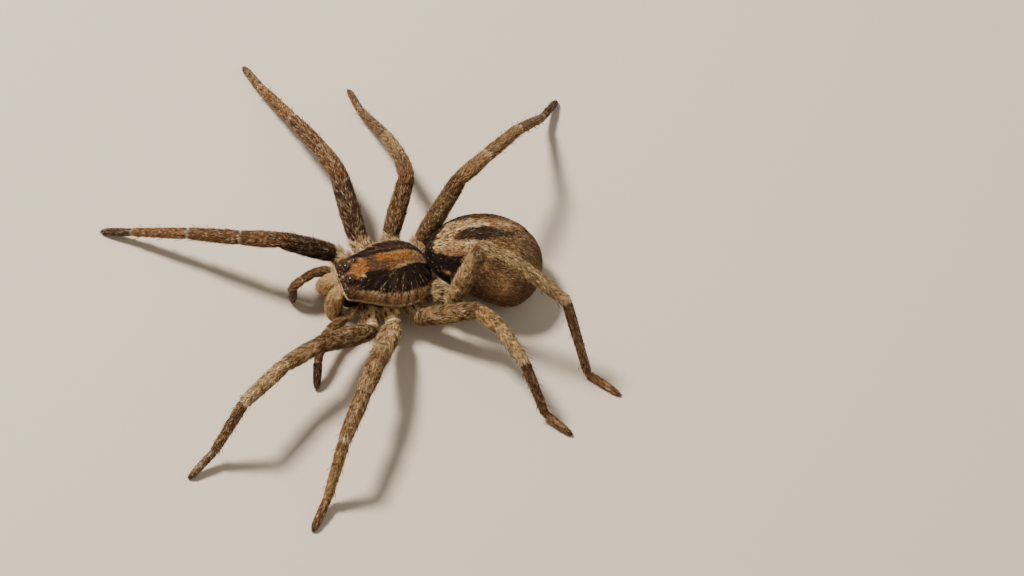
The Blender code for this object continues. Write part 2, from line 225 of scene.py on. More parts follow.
camera = placed("camera", bpy.data.cameras.new("camera"))
camera.data.lens = LENS
camera.data.sensor_width = SENSOR
camera.data.clip_start = 0.01
camera.data.clip_end = 10
turned = Matrix((right, up, back)).transposed().to_4x4()
camera.matrix_world = Matrix.Translation(FLOOR_POINT + right * ASIDE + up * ABOVE + back * DISTANCE) @ turned
bpy.context.scene.camera = camera
print("camera stands", round(camera.matrix_world.translation.z, 3), "m above the floor")

# %% floor and lamps
FLOOR_SIZE = 3.0


def dial(node, **values):
    """Sets inputs of a node by name, with _ for a space, and returns the node."""
    for name, value in values.items():
        node.inputs[name.replace("_", " ")].default_value = value
    return node


def new_material(name, roughness=0.6):
    """A material with a Principled shader. Returns the material, its nodes and its shader."""
    material = bpy.data.materials.new(name)
    material.use_nodes = True
    shader = dial(material.node_tree.nodes["Principled BSDF"], Roughness=roughness)
    return material, material.node_tree, shader


def mesh_object(name, bm, material, smooth=True):
    """An object at the origin from a bmesh."""
    mesh = bpy.data.meshes.new(name)
    bm.to_mesh(mesh)
    bm.free()
    if smooth:
        mesh.shade_smooth()
    mesh.materials.append(material)
    return placed(name, mesh)


def lamp(name, direction, distance, size, power, colour):
    """A square soft lamp that looks at the spider from a direction."""
    data = bpy.data.lights.new(name, "AREA")
    data.size = size
    data.energy = power
    data.color = colour
    obj = placed(name, data)
    way = direction.normalized()
    obj.location = way * distance
    obj.rotation_mode = "QUATERNION"
    obj.rotation_quaternion = way.to_track_quat("Z", "Y")
    return obj


floor_material, _, floor_shader = new_material("plain_floor", 0.85)
dial(floor_shader, Base_Color=(0.74, 0.64, 0.52, 1))
bm = bmesh.new()
bmesh.ops.create_grid(bm, x_segments=1, y_segments=1, size=FLOOR_SIZE / 2)
floor = mesh_object("floor", bm, floor_material, smooth=False)
floor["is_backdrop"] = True
lamp("key", back * 0.60 + up * 0.80 - right * 0.45, 0.50, 0.09, 4.3, (1.0, 0.93, 0.84))
lamp("fill", back * 0.6 + right * 0.9 + Vector((0, 0, 0.3)), 0.60, 0.40, 0.45, (1.0, 0.96, 0.90))
world = bpy.data.worlds.new("studio")
world.use_nodes = True
dial(world.node_tree.nodes["Background"], Color=(1.0, 0.95, 0.88, 1), Strength=0.27)
bpy.context.scene.world = world

# %% [markdown]
# ## Colours
#
# The whole animal is painted from one small palette, from cream to nearly black. Colours are named
# as a painter would, in the everyday 0 to 255 scale, and turned into the linear values that the
# shaders work in. `ramp` fades from 0 to 1 between two values, `bell` is a soft stripe, and `lay`
# puts inks over a ground one after another. `grain` is a soft random field in space, which breaks up
# every edge and every flat area.

# %% palette and painting tools
EVERYDAY = {
    "black": (22, 15, 10), "soot": (44, 31, 22), "umber": (76, 53, 35), "plum": (88, 62, 46),
    "slate": (86, 72, 60), "chestnut": (108, 70, 42), "auburn": (120, 84, 54), "grey": (124, 101, 78),
    "brown": (126, 94, 63), "olive": (140, 112, 76), "rust": (144, 92, 56), "sienna": (148, 106, 70),
    "orange": (158, 100, 46), "tan": (163, 129, 90), "gold": (184, 147, 96), "rose": (192, 146, 114),
    "straw": (200, 168, 122), "cream": (236, 214, 176),
}
RICHNESS = 1.07            # inks are laid on a little purer, because the sheen of hair greys them
DARKEST = 0.0008           # no ink is blacker than this


def linear(colour):
    """The linear value of an everyday colour."""
    share = np.array(colour) / 255
    value = np.where(share <= 0.04045, share / 12.92, ((share + 0.055) / 1.055) ** 2.4)
    return np.clip(value.mean() + (value - value.mean()) * RICHNESS, DARKEST, 1)


INK = {name: linear(colour) for name, colour in EVERYDAY.items()}


def ramp(value, start, end):
    t = np.clip((value - start) / (end - start), 0, 1)
    return t * t * (3 - 2 * t)


def bell(value, middle, width):
    """1 at the middle, fading to 0 about two widths away."""
    return np.exp(-((value - middle) / width) ** 2)


def lay(ground, *layers):
    """Lays inks over a ground, one after another, each by its own share from 0 to 1."""
    colour = INK[ground] if isinstance(ground, str) else ground
    for ink, share in layers:
        ink = INK[ink] if isinstance(ink, str) else ink
        colour = colour + (ink - colour) * np.clip(share, 0, 1)[:, None]
    return colour


def read(table, at):
    """Reads a table of (place, value) rows at places between its rows."""
    return np.interp(at, *zip(*table))


def grain(points, size, seed=0.0):
    """A soft random field from about -1 to 1, with lumps of about this size."""
    return np.array([noise.noise(Vector(p)) for p in points / size + seed * 17.3])


def smooth_table(table, at):
    """Reads a table of rows at places from 0 to 1 along it, on a smooth curve through its rows."""
    rows = np.array(table, float)
    span = np.linalg.norm(np.diff(rows[:, :3], axis=0), axis=1)
    knots = np.concatenate([[0], np.cumsum(span)]) / span.sum()
    slopes = np.gradient(rows, knots, axis=0)
    k = np.clip(np.searchsorted(knots, at, side="right") - 1, 0, len(rows) - 2)
    width = (knots[k + 1] - knots[k])[:, None]
    t = (at[:, None] - knots[k][:, None]) / width
    start = (2 * t ** 3 - 3 * t ** 2 + 1) * rows[k] + (t ** 3 - 2 * t ** 2 + t) * width * slopes[k]
    end = (-2 * t ** 3 + 3 * t ** 2) * rows[k + 1] + (t ** 3 - t ** 2) * width * slopes[k + 1]
    return start + end


print("palette:", ", ".join(sorted(INK)))

# %% [markdown]
# ## Limbs
#
# Legs, palps and spinnerets are tubes that follow a chain of joints. The chain is drawn as straight
# runs whose corners are rounded, and a pair of directions, over and across, is carried along it
# without twisting. A table of girths then swells each segment and pinches it at the joints. The
# tube's surface lies inside the solid by the depth of the coat. A bevelled curve would give much the
# same tube, but not the place of a root or a fleck on it, and a function of the two numbers does.

# %% limbs as surfaces
COAT_DEPTH = 0.07          # mm
STEP = 0.05                # mm between the points of a limb's middle line
ROUNDING = 1.1             # mm, the length over which a corner is rounded
LEG_GIRTH = {
    "coxa": ((0.0, 0.95), (0.25, 1.08), (0.55, 1.04), (0.72, 0.88), (0.76, 0.80), (0.82, 0.86), (0.95, 0.84)),
    "femur": ((0.0, 0.74), (0.05, 0.84), (0.16, 0.97), (0.42, 1.01), (0.78, 0.92), (0.93, 0.86)),
    "patella": ((0.0, 0.75), (0.07, 0.81), (0.45, 0.87), (0.84, 0.79), (0.95, 0.74)),
    "tibia": ((0.0, 0.67), (0.08, 0.74), (0.30, 0.76), (0.78, 0.68), (0.95, 0.63)),
    "metatarsus": ((0.0, 0.53), (0.08, 0.59), (0.25, 0.59), (0.70, 0.52), (0.95, 0.48)),
    "tarsus": ((0.0, 0.40), (0.08, 0.455), (0.40, 0.455), (0.80, 0.41), (0.94, 0.33), (0.985, 0.20),
               (1.0, 0.0)),
}
GIRTH = {1: 1.00, 2: 1.08, 3: 0.95, 4: 0.96}


def limb(joints, girths, scale=1.0, rounding=ROUNDING, over=Vector((0, 0, 1))):
    """A surface function for a tube through joints in metres; girths, in mm, has a table per run."""
    joints = np.array(joints) / MM
    knots = np.concatenate([[0], np.cumsum(np.linalg.norm(np.diff(joints, axis=0), axis=1))])
    total = knots[-1]
    count = int(total / STEP) + 1
    half = int(rounding / STEP / 2)
    first, last = joints[1] - joints[0], joints[-1] - joints[-2]
    joints_out = np.vstack([joints[0] - first, joints, joints[-1] + last])
    knots_out = np.concatenate([[-np.linalg.norm(first)], knots, [total + np.linalg.norm(last)]])
    along = np.linspace(0, total, count)
    step = along[1]
    wide = np.arange(-half, count + half) * step
    middle = np.stack([np.interp(wide, knots_out, joints_out[:, k]) for k in range(3)], 1)
    window = np.hanning(2 * half + 3)[1:-1]
    window /= window.sum()
    middle = np.stack([np.convolve(middle[:, k], window, "valid") for k in range(3)], 1)
    ways = np.gradient(middle, axis=0)
    ways /= np.linalg.norm(ways, axis=1, keepdims=True)
    overs = []
    held = np.array(over, float)
    for way in ways:
        held = held - way * (held @ way)
        held = held / np.linalg.norm(held)
        overs.append(held)
    overs = np.array(overs)
    across = np.cross(ways, overs)
    places, radii = [], []
    for k, table in enumerate(girths):
        for part, radius in table:
            places.append(knots[k] + part * (knots[k + 1] - knots[k]))
            radii.append(max(radius * scale - COAT_DEPTH, 0.0) if radius else 0.0)
    radii[0] = 0.0
    girth = np.interp(along, places, radii)
    soft = np.hanning(9)[1:-1]
    ends = girth[[0, -1]]
    girth = np.convolve(np.pad(girth, 3, "edge"), soft / soft.sum(), "valid")
    girth[[0, -1]] = ends

    def place(u, turn):
        s = u * total
        pick = lambda values: np.stack([np.interp(s, along, values[:, k]) for k in range(3)], 1)
        r = np.interp(s, along, girth)[:, None]
        ways_out = pick(overs) * np.cos(turn)[:, None] + pick(across) * np.sin(turn)[:, None]
        return (pick(middle) + r * ways_out) * MM

    def where(u):
        """The number of the run and how far along it, for places along the limb."""
        s = u * total
        run = np.clip(np.searchsorted(knots, s, side="right") - 1, 0, len(knots) - 2)
        return run, (s - knots[run]) / (knots[run + 1] - knots[run])

    return {"place": place, "where": where, "length": total, "knots": knots, "girth": girth.max()}


COXA_ROOTS = {1: (1.40, -2.75), 2: (1.58, -0.85), 3: (1.53, 1.10), 4: (1.30, 2.75)}
COXA_HEIGHT = 2.4          # mm above the floor


def coxa_root(side, number):
    x, y = COXA_ROOTS[number]
    return FLOOR_POINT + Vector((x * SIGN[side], y, COXA_HEIGHT)) * MM


FORMS = {}
for (side, number), joints in LEGS.items():
    chain = [coxa_root(side, number), *joints]
    girths = [LEG_GIRTH[run] for run in ("coxa", *SEGMENTS)]
    FORMS[f"leg_{side}_{number}"] = limb(chain, girths, GIRTH[number])
print("a leg is", round(FORMS["leg_left_1"]["length"], 1), "mm long from the coxa")

# %% [markdown]
# ## Palps, waist and spinnerets
#
# The palps look like two short legs beside the mouth, without a metatarsus. Each is one solid, which
# has no ends inside it to measure, so its bends are given here. The waist is a short narrow tube,
# and the four spinnerets are blunt fingers under the rear end of the abdomen. All of them are limbs
# like the legs, with other girths.

# %% palps, waist and spinnerets
PALP_GIRTHS = (
    ((0.0, 0.44), (0.5, 0.52), (0.9, 0.50)),
    ((0.0, 0.46), (0.2, 0.56), (0.6, 0.55), (0.93, 0.50)),
    ((0.0, 0.43), (0.3, 0.50), (0.9, 0.47)),
    ((0.0, 0.42), (0.3, 0.49), (0.9, 0.46)),
    ((0.0, 0.40), (0.12, 0.47), (0.45, 0.46), (0.75, 0.40), (0.93, 0.27), (1.0, 0.0)),
)
PALP_JOINTS = {            # mm from the point on the floor under the waist, as in the solids
    "left": ((2.20, -3.70, 2.50), (3.15, -5.55, 2.50), (4.30, -7.60, 2.75), (5.50, -8.75, 2.85),
             (7.35, -9.70, 2.20), (9.45, -10.40, 0.27)),
    "right": ((-1.90, -3.80, 2.50), (-2.50, -5.80, 2.95), (-2.10, -7.60, 3.90), (-1.60, -8.85, 4.00),
              (-1.53, -10.05, 2.90), (-1.33, -10.05, 0.27)),
}
PEDICEL = ((-0.08, 3.60, 2.85), (-0.70, 5.30, 3.20))
PEDICEL_GIRTH = ((0.0, 0.3), (0.2, 0.44), (0.8, 0.44), (1.0, 0.3))
SPINNERETS = tuple(        # root and tip from the abdomen's rear end, and girth
    ((sign * x, y, z), (sign * tip_x, tip_y, tip_z), girth)
    for (x, y, z), (tip_x, tip_y, tip_z), girth in (
        ((0.30, -1.28, -2.34), (0.46, -0.76, -3.06), 0.40),
        ((0.22, -0.95, -2.05), (0.36, -0.22, -2.62), 0.36))
    for sign in (-1, 1))
SPINNERET_GIRTH = ((0.0, 0.9), (0.45, 1.0), (0.62, 0.84), (0.90, 0.72), (0.98, 0.5), (1.0, 0.0))

for side in SIDES:
    chain = [FLOOR_POINT + Vector(p) * MM for p in PALP_JOINTS[side]]
    FORMS[f"palp_{side}"] = limb(chain, PALP_GIRTHS, rounding=1.6)
FORMS["pedicel"] = limb([FLOOR_POINT + Vector(p) * MM for p in PEDICEL], [PEDICEL_GIRTH])

head = np.array(PROSOMA.translation)
front_end, rear_end = (Vector(end) for end in nearer(long_ends("abdomen", BODY_RING), head))
abdomen_length = (rear_end - front_end).length / MM
lengthwise = (rear_end - front_end).normalized()
crosswise = Vector((lengthwise.y, -lengthwise.x, 0)).normalized()
ABDOMEN = Matrix((crosswise, lengthwise, crosswise.cross(lengthwise))).transposed().to_4x4()
ABDOMEN = ABDOMEN @ Matrix.Scale(MM, 4)
ABDOMEN.translation = front_end
rear = ABDOMEN @ Matrix.Translation((0, abdomen_length, 0))
for k, (root, tip, girth) in enumerate(SPINNERETS):
    table = [(part, share * girth) for part, share in SPINNERET_GIRTH]
    FORMS[f"spinneret_{k}"] = limb([rear @ Vector(root), rear @ Vector(tip)], [table])
print("abdomen", round(abdomen_length, 2), "mm long, from", (front_end / MM)[:], "to", (rear_end / MM)[:])

# %% [markdown]
# ## The trunk
#
# Carapace and underside are one closed form. Over the top it is an arch, steep and square at the
# head and round behind. At the rim it folds in under a thin lip and drops to the flat breastplate
# between the legs. Low mounds carry the rear eyes, shallow grooves run from the pit behind the
# middle to the rim, and two longer ones mark off the head. A sculpted ball could have this form too,
# but a table of arches keeps its sides alike and says where the rim is, for the markings.

# %% the trunk as a surface
CARAPACE = (               # (y, half width, height, height of the rim, squareness) from the face to the rear
    (-5.58, 0.02, 0.72, 0.70, 2.2), (-5.62, 1.00, 0.88, 0.69, 2.4), (-5.62, 1.70, 1.08, 0.68, 2.6),
    (-5.55, 2.06, 1.30, 0.65, 2.7), (-5.38, 2.36, 1.54, 0.60, 2.7), (-4.95, 2.50, 1.94, 0.47, 2.7),
    (-4.35, 2.56, 2.21, 0.27, 2.6), (-3.50, 2.76, 2.41, 0.05, 2.5), (-2.40, 3.20, 2.54, 0.0, 2.3),
    (-1.10, 3.72, 2.60, 0.0, 2.2), (0.30, 3.99, 2.56, 0.0, 2.1), (1.60, 3.93, 2.40, 0.0, 2.1),
    (2.70, 3.53, 2.04, 0.0, 2.1), (3.50, 2.94, 1.56, 0.0, 2.2), (4.05, 2.26, 1.02, 0.0, 2.3),
    (4.38, 1.40, 0.45, 0.0, 2.3), (4.41, 0.70, 0.18, 0.0, 2.2), (4.41, 0.02, 0.02, 0.0, 2.2),
)
FOVEA = 1.55               # y of the pit
BOWL = (3.22, 4.45, 2.42)  # half width, half length and depth of the underside
BOWL_MIDDLE, BOWL_SHAPE, LIP = -0.40, 4.3, 0.14
MOUNDS = ((0.80, -4.66, 0.52, 0.10), (1.30, -3.66, 0.42, 0.12))   # x, y, width, height
RAYS = 9                   # grooves on each side
RAY_DEPTH, NECK_DEPTH, PIT_DEPTH = 0.035, 0.10, 0.14


def trunk_plan(u):
    """y, half width, height, height of the rim and squareness at places along the trunk."""
    return smooth_table(CARAPACE, u).T


def trunk_level(u, turn):
    """The trunk in its own frame, in mm."""
    y, half, height, rim, square = trunk_plan(u)
    power = 2 / square
    sign = np.sign(np.sin(turn))
    dome_x = half * sign * np.abs(np.sin(turn)) ** power
    dome_z = rim + (height - rim) * np.abs(np.cos(turn)) ** power
    for x, at, width, rise in MOUNDS:
        dome_z = dome_z + rise * bell(np.abs(dome_x), x, width) * bell(y, at, width)
    angle = np.arctan2(np.abs(dome_x), FOVEA - y)
    reach = np.hypot(dome_x, y - FOVEA)
    groove = 0.5 + 0.5 * np.cos(angle * 2 * RAYS)
    neck = bell(np.abs(dome_x), 0.42 * (FOVEA - y), 0.22) * ramp(y, -3.4, -2.4) * ramp(y, 1.2, 0.2)
    dome_z = dome_z - RAY_DEPTH * groove ** 4 * ramp(reach, 0.5, 1.2) * ramp(reach, 4.2, 2.4)
    dome_z = dome_z - NECK_DEPTH * neck
    dome_z = dome_z - PIT_DEPTH * bell(dome_x, 0, 0.12) * bell(y, FOVEA, 0.38)
    under = np.clip(np.abs(turn) - math.pi / 2, 0, math.pi / 2)
    share = np.clip((y - BOWL_MIDDLE) / BOWL[1], -1, 1)
    bowl_half = np.minimum(BOWL[0] * np.sqrt(1 - share ** 2), half * 0.86)
    depth = BOWL[2] * (1 - np.abs(share) ** BOWL_SHAPE)
    lip = ramp(under, 0.0, 0.12)
    sweep = np.clip((under - 0.12) / (math.pi / 2 - 0.12), 0, 1) * math.pi / 2
    low_x = sign * (half * (1 - lip) + bowl_half * lip * np.cos(sweep) ** 0.75)
    low_z = rim - LIP * np.minimum(lip, height - rim) - depth * np.sin(sweep) ** 0.9
    below = np.abs(turn) > math.pi / 2
    return np.stack([np.where(below, low_x, dome_x), y, np.where(below, low_z, dome_z)], 1)


FORMS["trunk"] = {"place": lambda u, turn: carried(trunk_level(u, turn), PROSOMA), "level": trunk_level}

MAXILLA = ((0.85, -4.05, -2.18), (0.58, 1.00, 0.80))
LABIUM = ((0.0, -3.75, -2.30), (0.42, 0.55, 0.42))


def egg(middle, half, matrix):
    """A plain oval body in a part's frame."""
    def place(u, turn):
        swell = np.sin(u * math.pi)
        level = np.stack([middle[0] + half[0] * swell * np.sin(turn),
                          middle[1] - half[1] * np.cos(u * math.pi),
                          middle[2] + half[2] * swell * np.cos(turn)], 1)
        return carried(level, matrix)
    return {"place": place}


for side, sign in SIGN.items():
    (x, y, z), half = MAXILLA
    FORMS[f"maxilla_{side}"] = egg((x * sign, y, z), half, PROSOMA)
FORMS["labium"] = egg(*LABIUM, PROSOMA)
sample = FORMS["trunk"]["place"](np.linspace(0, 1, 50), np.linspace(-3, 3, 50))
print("trunk spans", (np.ptp(sample, 0) / MM).round(1))

# %% [markdown]
# ## Jaws
#
# Each chelicera hangs from under the face and bulges forward like a bent thumb. A bent tube would be
# equally deep all round, so it is lofted through level ovals from the top down, with the front at
# turn 0. The fang folds in underneath and is made later, as horn.

# %% chelicerae
CHELICERA = (              # (x, y, z, half across, half deep), x outwards, top to bottom
    (0.66, -5.50, 0.40, 0.02, 0.02), (0.67, -5.52, 0.36, 0.38, 0.24), (0.76, -5.72, 0.22, 0.60, 0.50),
    (0.88, -5.95, 0.02, 0.73, 0.69), (1.03, -6.14, -0.45, 0.80, 0.84), (1.22, -6.30, -1.10, 0.83, 0.91),
    (1.37, -6.34, -1.62, 0.82, 0.90), (1.48, -6.34, -2.12, 0.79, 0.85), (1.59, -6.28, -2.55, 0.72, 0.77),
    (1.66, -6.22, -2.92, 0.62, 0.66), (1.69, -6.14, -3.22, 0.44, 0.46), (1.70, -6.12, -3.30, 0.02, 0.02),
)


def chelicera(sign):
    def place(u, turn):
        x, y, z, across, deep = smooth_table(CHELICERA, u).T
        level = np.stack([sign * x + across * np.sin(turn), y - deep * np.cos(turn), z], 1)
        return carried(level, PROSOMA)
    return {"place": place}


for side, sign in SIGN.items():
    FORMS[f"chelicera_{side}"] = chelicera(sign)
print("jaws:", [name for name in FORMS if name.startswith("chel")])

# %% [markdown]
# ## Abdomen
#
# The abdomen is an egg lying down, fullest behind its middle. Its section is an oval, wider than it
# is high, and its middle line bows a little to the right. Two pairs of tiny dimples on the back show
# where muscles are tied to the skin. A stretched sphere is too even for it, so its girth follows a
# table.

# %% abdomen
ABDOMEN_GIRTH = (          # (part of the length, share of the full girth)
    (0.000, 0.01), (0.004, 0.12), (0.022, 0.25), (0.08, 0.475), (0.17, 0.68), (0.28, 0.83), (0.40, 0.925),
    (0.52, 0.985), (0.64, 0.995), (0.74, 0.97), (0.84, 0.855), (0.92, 0.66), (0.97, 0.44), (0.994, 0.20),
    (1.000, 0.01),
)
HALF_WIDE, HALF_HIGH = 4.90 - COAT_DEPTH, 3.62 - COAT_DEPTH
BOW, BOW_END = 0.65, 0.83                  # how far its middle line bows to the right, and where it ends
DIMPLES = ((0.30, 0.20), (0.46, 0.24))     # part of the length, turn to each side
DIMPLE_DEPTH = 0.012                       # as a share of the girth
ROLL = math.radians(-9.0)                  # its midline leans to the right as it swings


def abdomen_level(u, turn):
    part, girth = smooth_table(ABDOMEN_GIRTH, u).T
    bow = BOW * np.sin(math.pi * np.clip(part / BOW_END, 0, 1))
    for at, aside in DIMPLES:
        girth = girth - DIMPLE_DEPTH * bell(part, at, 0.014) * bell(np.abs(turn - ROLL), aside, 0.05)
    return np.stack([HALF_WIDE * girth * np.sin(turn) - bow, abdomen_length * part,
                     HALF_HIGH * girth * np.cos(turn)], 1)


FORMS["abdomen"] = {"place": lambda u, turn: carried(abdomen_level(u, turn), ABDOMEN)}
print("abdomen half sizes", round(HALF_WIDE, 2), round(HALF_HIGH, 2))

# %% [markdown]
# ## Markings of the front half
#
# Seen from above, the carapace is black on each side of an orange band. The band starts broad and
# bright behind the eyes, goes dull and greyish at the middle, and brightens again to the rear. A tan
# band with dark streaks runs inside the rim, and the rim itself has a thin cream line all round.
# Fine pale hair lines cross the black, all pointing at the pit. Each coloured hair must match the
# skin under it, so the markings aren't a texture of one mesh but a function that skin and coat both
# ask for the colour of a place. It lays one ink after another, from the ground up.

# %% paint the trunk
MIDLINE = ((-5.0, -0.12), (-2.0, -0.33))             # y, x: the pattern leans to the right behind the eyes
BAND_LEFT = ((-4.6, 1.00), (-3.9, 1.38), (-3.3, 1.15), (-2.8, 0.75), (-1.6, 1.00), (-0.3, 1.12), (0.6, 1.08),
             (1.3, 0.86), (2.4, 0.58), (3.5, 0.56), (4.3, 0.30))
BAND_RIGHT = ((-4.6, 1.00), (-4.3, 1.32), (-3.4, 1.28), (-2.4, 1.00), (-1.8, 1.12), (0.5, 1.00), (2.2, 1.08),
              (3.5, 0.90), (4.2, 0.30))
PALE_RAYS = (0.70, 0.87, 0.96, 1.19, 1.29, 1.49, 1.72, 2.02, 2.40, 2.54)   # angles at the pit
RAY_STRENGTHS = (0.75, 0.3, 0.6, 0.8, 0.35, 0.75, 0.3)
EYE_RINGS = ((0.80, -4.80, 0.50), (1.30, -3.72, 0.36))       # x, y, reach of the dark round the rear eyes


def paint_trunk(u, turn):
    level = trunk_level(u, turn)
    x, y, z = level.T
    _, half, _, rim, _ = trunk_plan(u)
    lumps, fine, specks = grain(level, 0.55, 1), grain(level, 0.14, 2), grain(level, 0.22, 6)
    side = x - read(MIDLINE, y)
    aside, left = np.abs(side), ramp(side, -0.1, 0.1)
    edge = np.abs(x) / np.maximum(half, 0.3)
    angle = np.arctan2(aside, FOVEA - y)
    reach = np.hypot(side, y - FOVEA)
    radial = grain(np.stack([angle * 9, reach * 0.5, left], 1), 0.5, 11)
    colour = lay("black",                              # the black flanks
        ("soot", 0.30 + 0.5 * fine + 0.5 * radial),
        ("umber", ramp(radial, 0.10, 0.40) * ramp(edge, 0.35, 0.75) * 0.7),
        ("chestnut", bell(aside, 1.62, 0.10) * ramp(y, -3.0, -1.5) * (0.75 - 0.6 * left)),
        ("umber", ramp(y, -3.5, -4.2) * ramp(edge, 0.50, 0.70) * 0.9),
        ("olive", ramp(y, -3.6, -4.6) * ramp(edge, 0.70, 0.90) * (0.20 + fine)))
    for k, at in enumerate(PALE_RAYS):                 # the pale lines across them
        line = bell(angle + 0.05 * lumps, at, 0.011) * ramp(reach, 1.3 + 0.5 * (k % 3), 2.6)
        line = line * ramp(y, -2.8, -1.9) * RAY_STRENGTHS[k % 7]
        colour = lay(colour, ("straw", line * (0.2 + 0.8 * left) * (0.7 + 1.5 * fine)))
    wedge = edge + 0.05 * radial + 0.02 * fine
    streaks = grain(np.stack([angle * 24, reach * 0.6, left], 1), 0.5, 12)
    brim = ramp(wedge + 0.04 * streaks, 0.775, 0.825)
    brim_coat = lay("tan",                             # the streaked brim
        ("rose", 0.30 + 0.7 * specks),
        ("umber", ramp(streaks, 0.02, 0.25) * 0.85),
        ("cream", ramp(-streaks, 0.02, 0.24) * ramp(wedge, 0.95, 0.80) * 0.85),
        ("straw", ramp(fine, 0.0, 0.35) * 0.6))
    colour = lay(colour, (brim_coat, brim * ramp(y, -4.7, -3.6)))
    drop = z - rim
    colour = lay(colour,
        ("straw", ramp(drop, 1.05, 0.75) * (1 - left) * ramp(y, 4.0, 3.0) * (0.7 + fine)),
        ("umber", bell(drop, 0.50, 0.09) * (0.6 + fine)))
    band = np.where(side > 0, read(BAND_LEFT, y), read(BAND_RIGHT, y)) + 0.05 * lumps + 0.04 * fine
    inside = ramp(band - aside, -0.05, 0.07)
    front = ramp(y + 0.10 * lumps, -2.62, -2.80)
    rear = ramp(y + 0.25 * lumps - 0.8 * left, -1.55, -1.05)
    eye_patch = lay("orange",                          # the band: behind the eyes, the dull middle, the rear
        ("rust", 0.35 + 0.9 * lumps),
        ("gold", ramp(fine, -0.05, 0.35) * 0.7),
        ("straw", ramp(-side, 0.95, 1.25) * 0.7))
    dull = lay("umber", ("plum", 0.5 + 0.6 * lumps), ("brown", ramp(fine, -0.1, 0.4) * 0.75))
    core = lay("orange", ("gold", 0.15 + 0.9 * fine), ("rust", ramp(lumps, 0.0, 0.4) * 0.7))
    pale_side = lay("brown",
        ("tan", 0.5 + fine),
        ("umber", ramp(specks, 0.10, 0.35) * 0.7),
        ("cream", ramp(aside, band - 0.34, band - 0.16) * ramp(y, -0.2, 1.2) * 0.45))
    stripe = lay(core,
        (pale_side, ramp(side, -0.16, 0.02) * 0.9),
        ("soot", bell(side, -0.07, 0.06) * ramp(y, 2.8, 1.4) * 0.85),
        ("cream", ramp(y, 2.2, 3.9) * 0.6 + bell(side, -0.86, 0.10) * ramp(y, -1.2, 0.2) * 0.35),
        ("soot", ramp(specks, 0.24, 0.36) * ramp(y, 1.8, 3.0) * 0.8))
    stripe = lay(dull, (stripe * (0.76, 0.72, 0.62), rear), (eye_patch * (0.86, 0.82, 0.70), front))
    colour = lay(colour,
        (stripe, inside * ramp(y, -5.05, -4.75)),
        ("cream", bell(aside, 1.12, 0.20) * bell(y, -3.42, 0.16) * (0.35 + 0.65 * left)),
        ("black", bell(aside, 1.25, 0.42) * bell(y, -2.78, 0.38) * left),
        ("soot", bell(side, 0, 0.07) * bell(y, FOVEA, 0.4) * 0.8))
    face = ramp(y, -4.95, -5.25)                       # the face, with painted glints in rose, and the dark round the eyes
    colour = lay(colour,
        (lay("black", ("plum", ramp(fine, 0.05, 0.35))), face),
        # painted glints: rose specks on the dark face
        ("rose", face * ramp(specks, 0.26, 0.36) * 0.7))
    for x_eye, y_eye, size in EYE_RINGS:
        colour = lay(colour, ("black", bell(np.hypot(np.abs(x) - x_eye, y - y_eye), size, 0.13)))
    colour = lay(colour,                               # the cream line along the rim, and painted shade in rust and soot under the raised rim
        ("cream", ramp(y, -5.46, -5.53) * ramp(drop, 0.36, 0.26) * 0.9),
        ("cream", bell(drop, 0.30 - 0.12 * face, 0.085) * (0.95 + 0.5 * fine)),
        # painted shade under the raised rim
        (lay("rust", ("soot", 0.55 + fine)), ramp(drop, 0.17 - 0.12 * face, 0.10 - 0.09 * face)))
    belly = lay("soot", ("umber", 0.5 + 0.6 * fine), ("chestnut", 0.4 * ramp(lumps, 0.0, 0.5)))
    return lay(colour, (belly, ramp(np.abs(turn), math.pi / 2 + 0.05, math.pi / 2 + 0.12)))


print("band is widest", max(width for _, width in BAND_LEFT) * 2, "mm")

# %% [markdown]
# ## Markings of the abdomen
#
# The back is golden at the shoulders, speckled with dark dots. A dark leaf with a wavy cream edge
# lies along the midline, and ends in grey. Behind it the coat turns to a smooth greyish brown, set
# off by a thin dark line. The shoulders drop to a black patch on each side, with one pale spot, and
# the flanks are dark and mottled down to a plain brown belly. Painted light is laid on as well: the
# shadow of the fourth left leg on the near flank, a tan highlight in the middle of each flank and a
# rose sheen on the right of the leaf. Places are given as parts of the length and as turns from the
# midline, which drifts to the right on its way back.

# %% paint the abdomen
SPINE_LINE = ((0.10, 2), (0.20, 0), (0.32, -5), (0.41, -7), (0.50, -10), (0.58, -13), (0.66, -18), (1.0, -18))
LEAF = ((0.190, 0.01), (0.215, 0.07), (0.25, 0.165), (0.32, 0.20), (0.36, 0.165), (0.41, 0.235), (0.45, 0.21),
        (0.50, 0.15), (0.58, 0.115), (0.66, 0.08), (0.69, 0.0))   # part of the length, half width as a turn
CHEVRONS = (0.86, 0.92)
REAR_EDGE = ((0.0, 0.655), (0.17, 0.690), (0.28, 0.734), (0.36, 0.775), (0.60, 0.80), (1.0, 0.74), (1.6, 0.62))


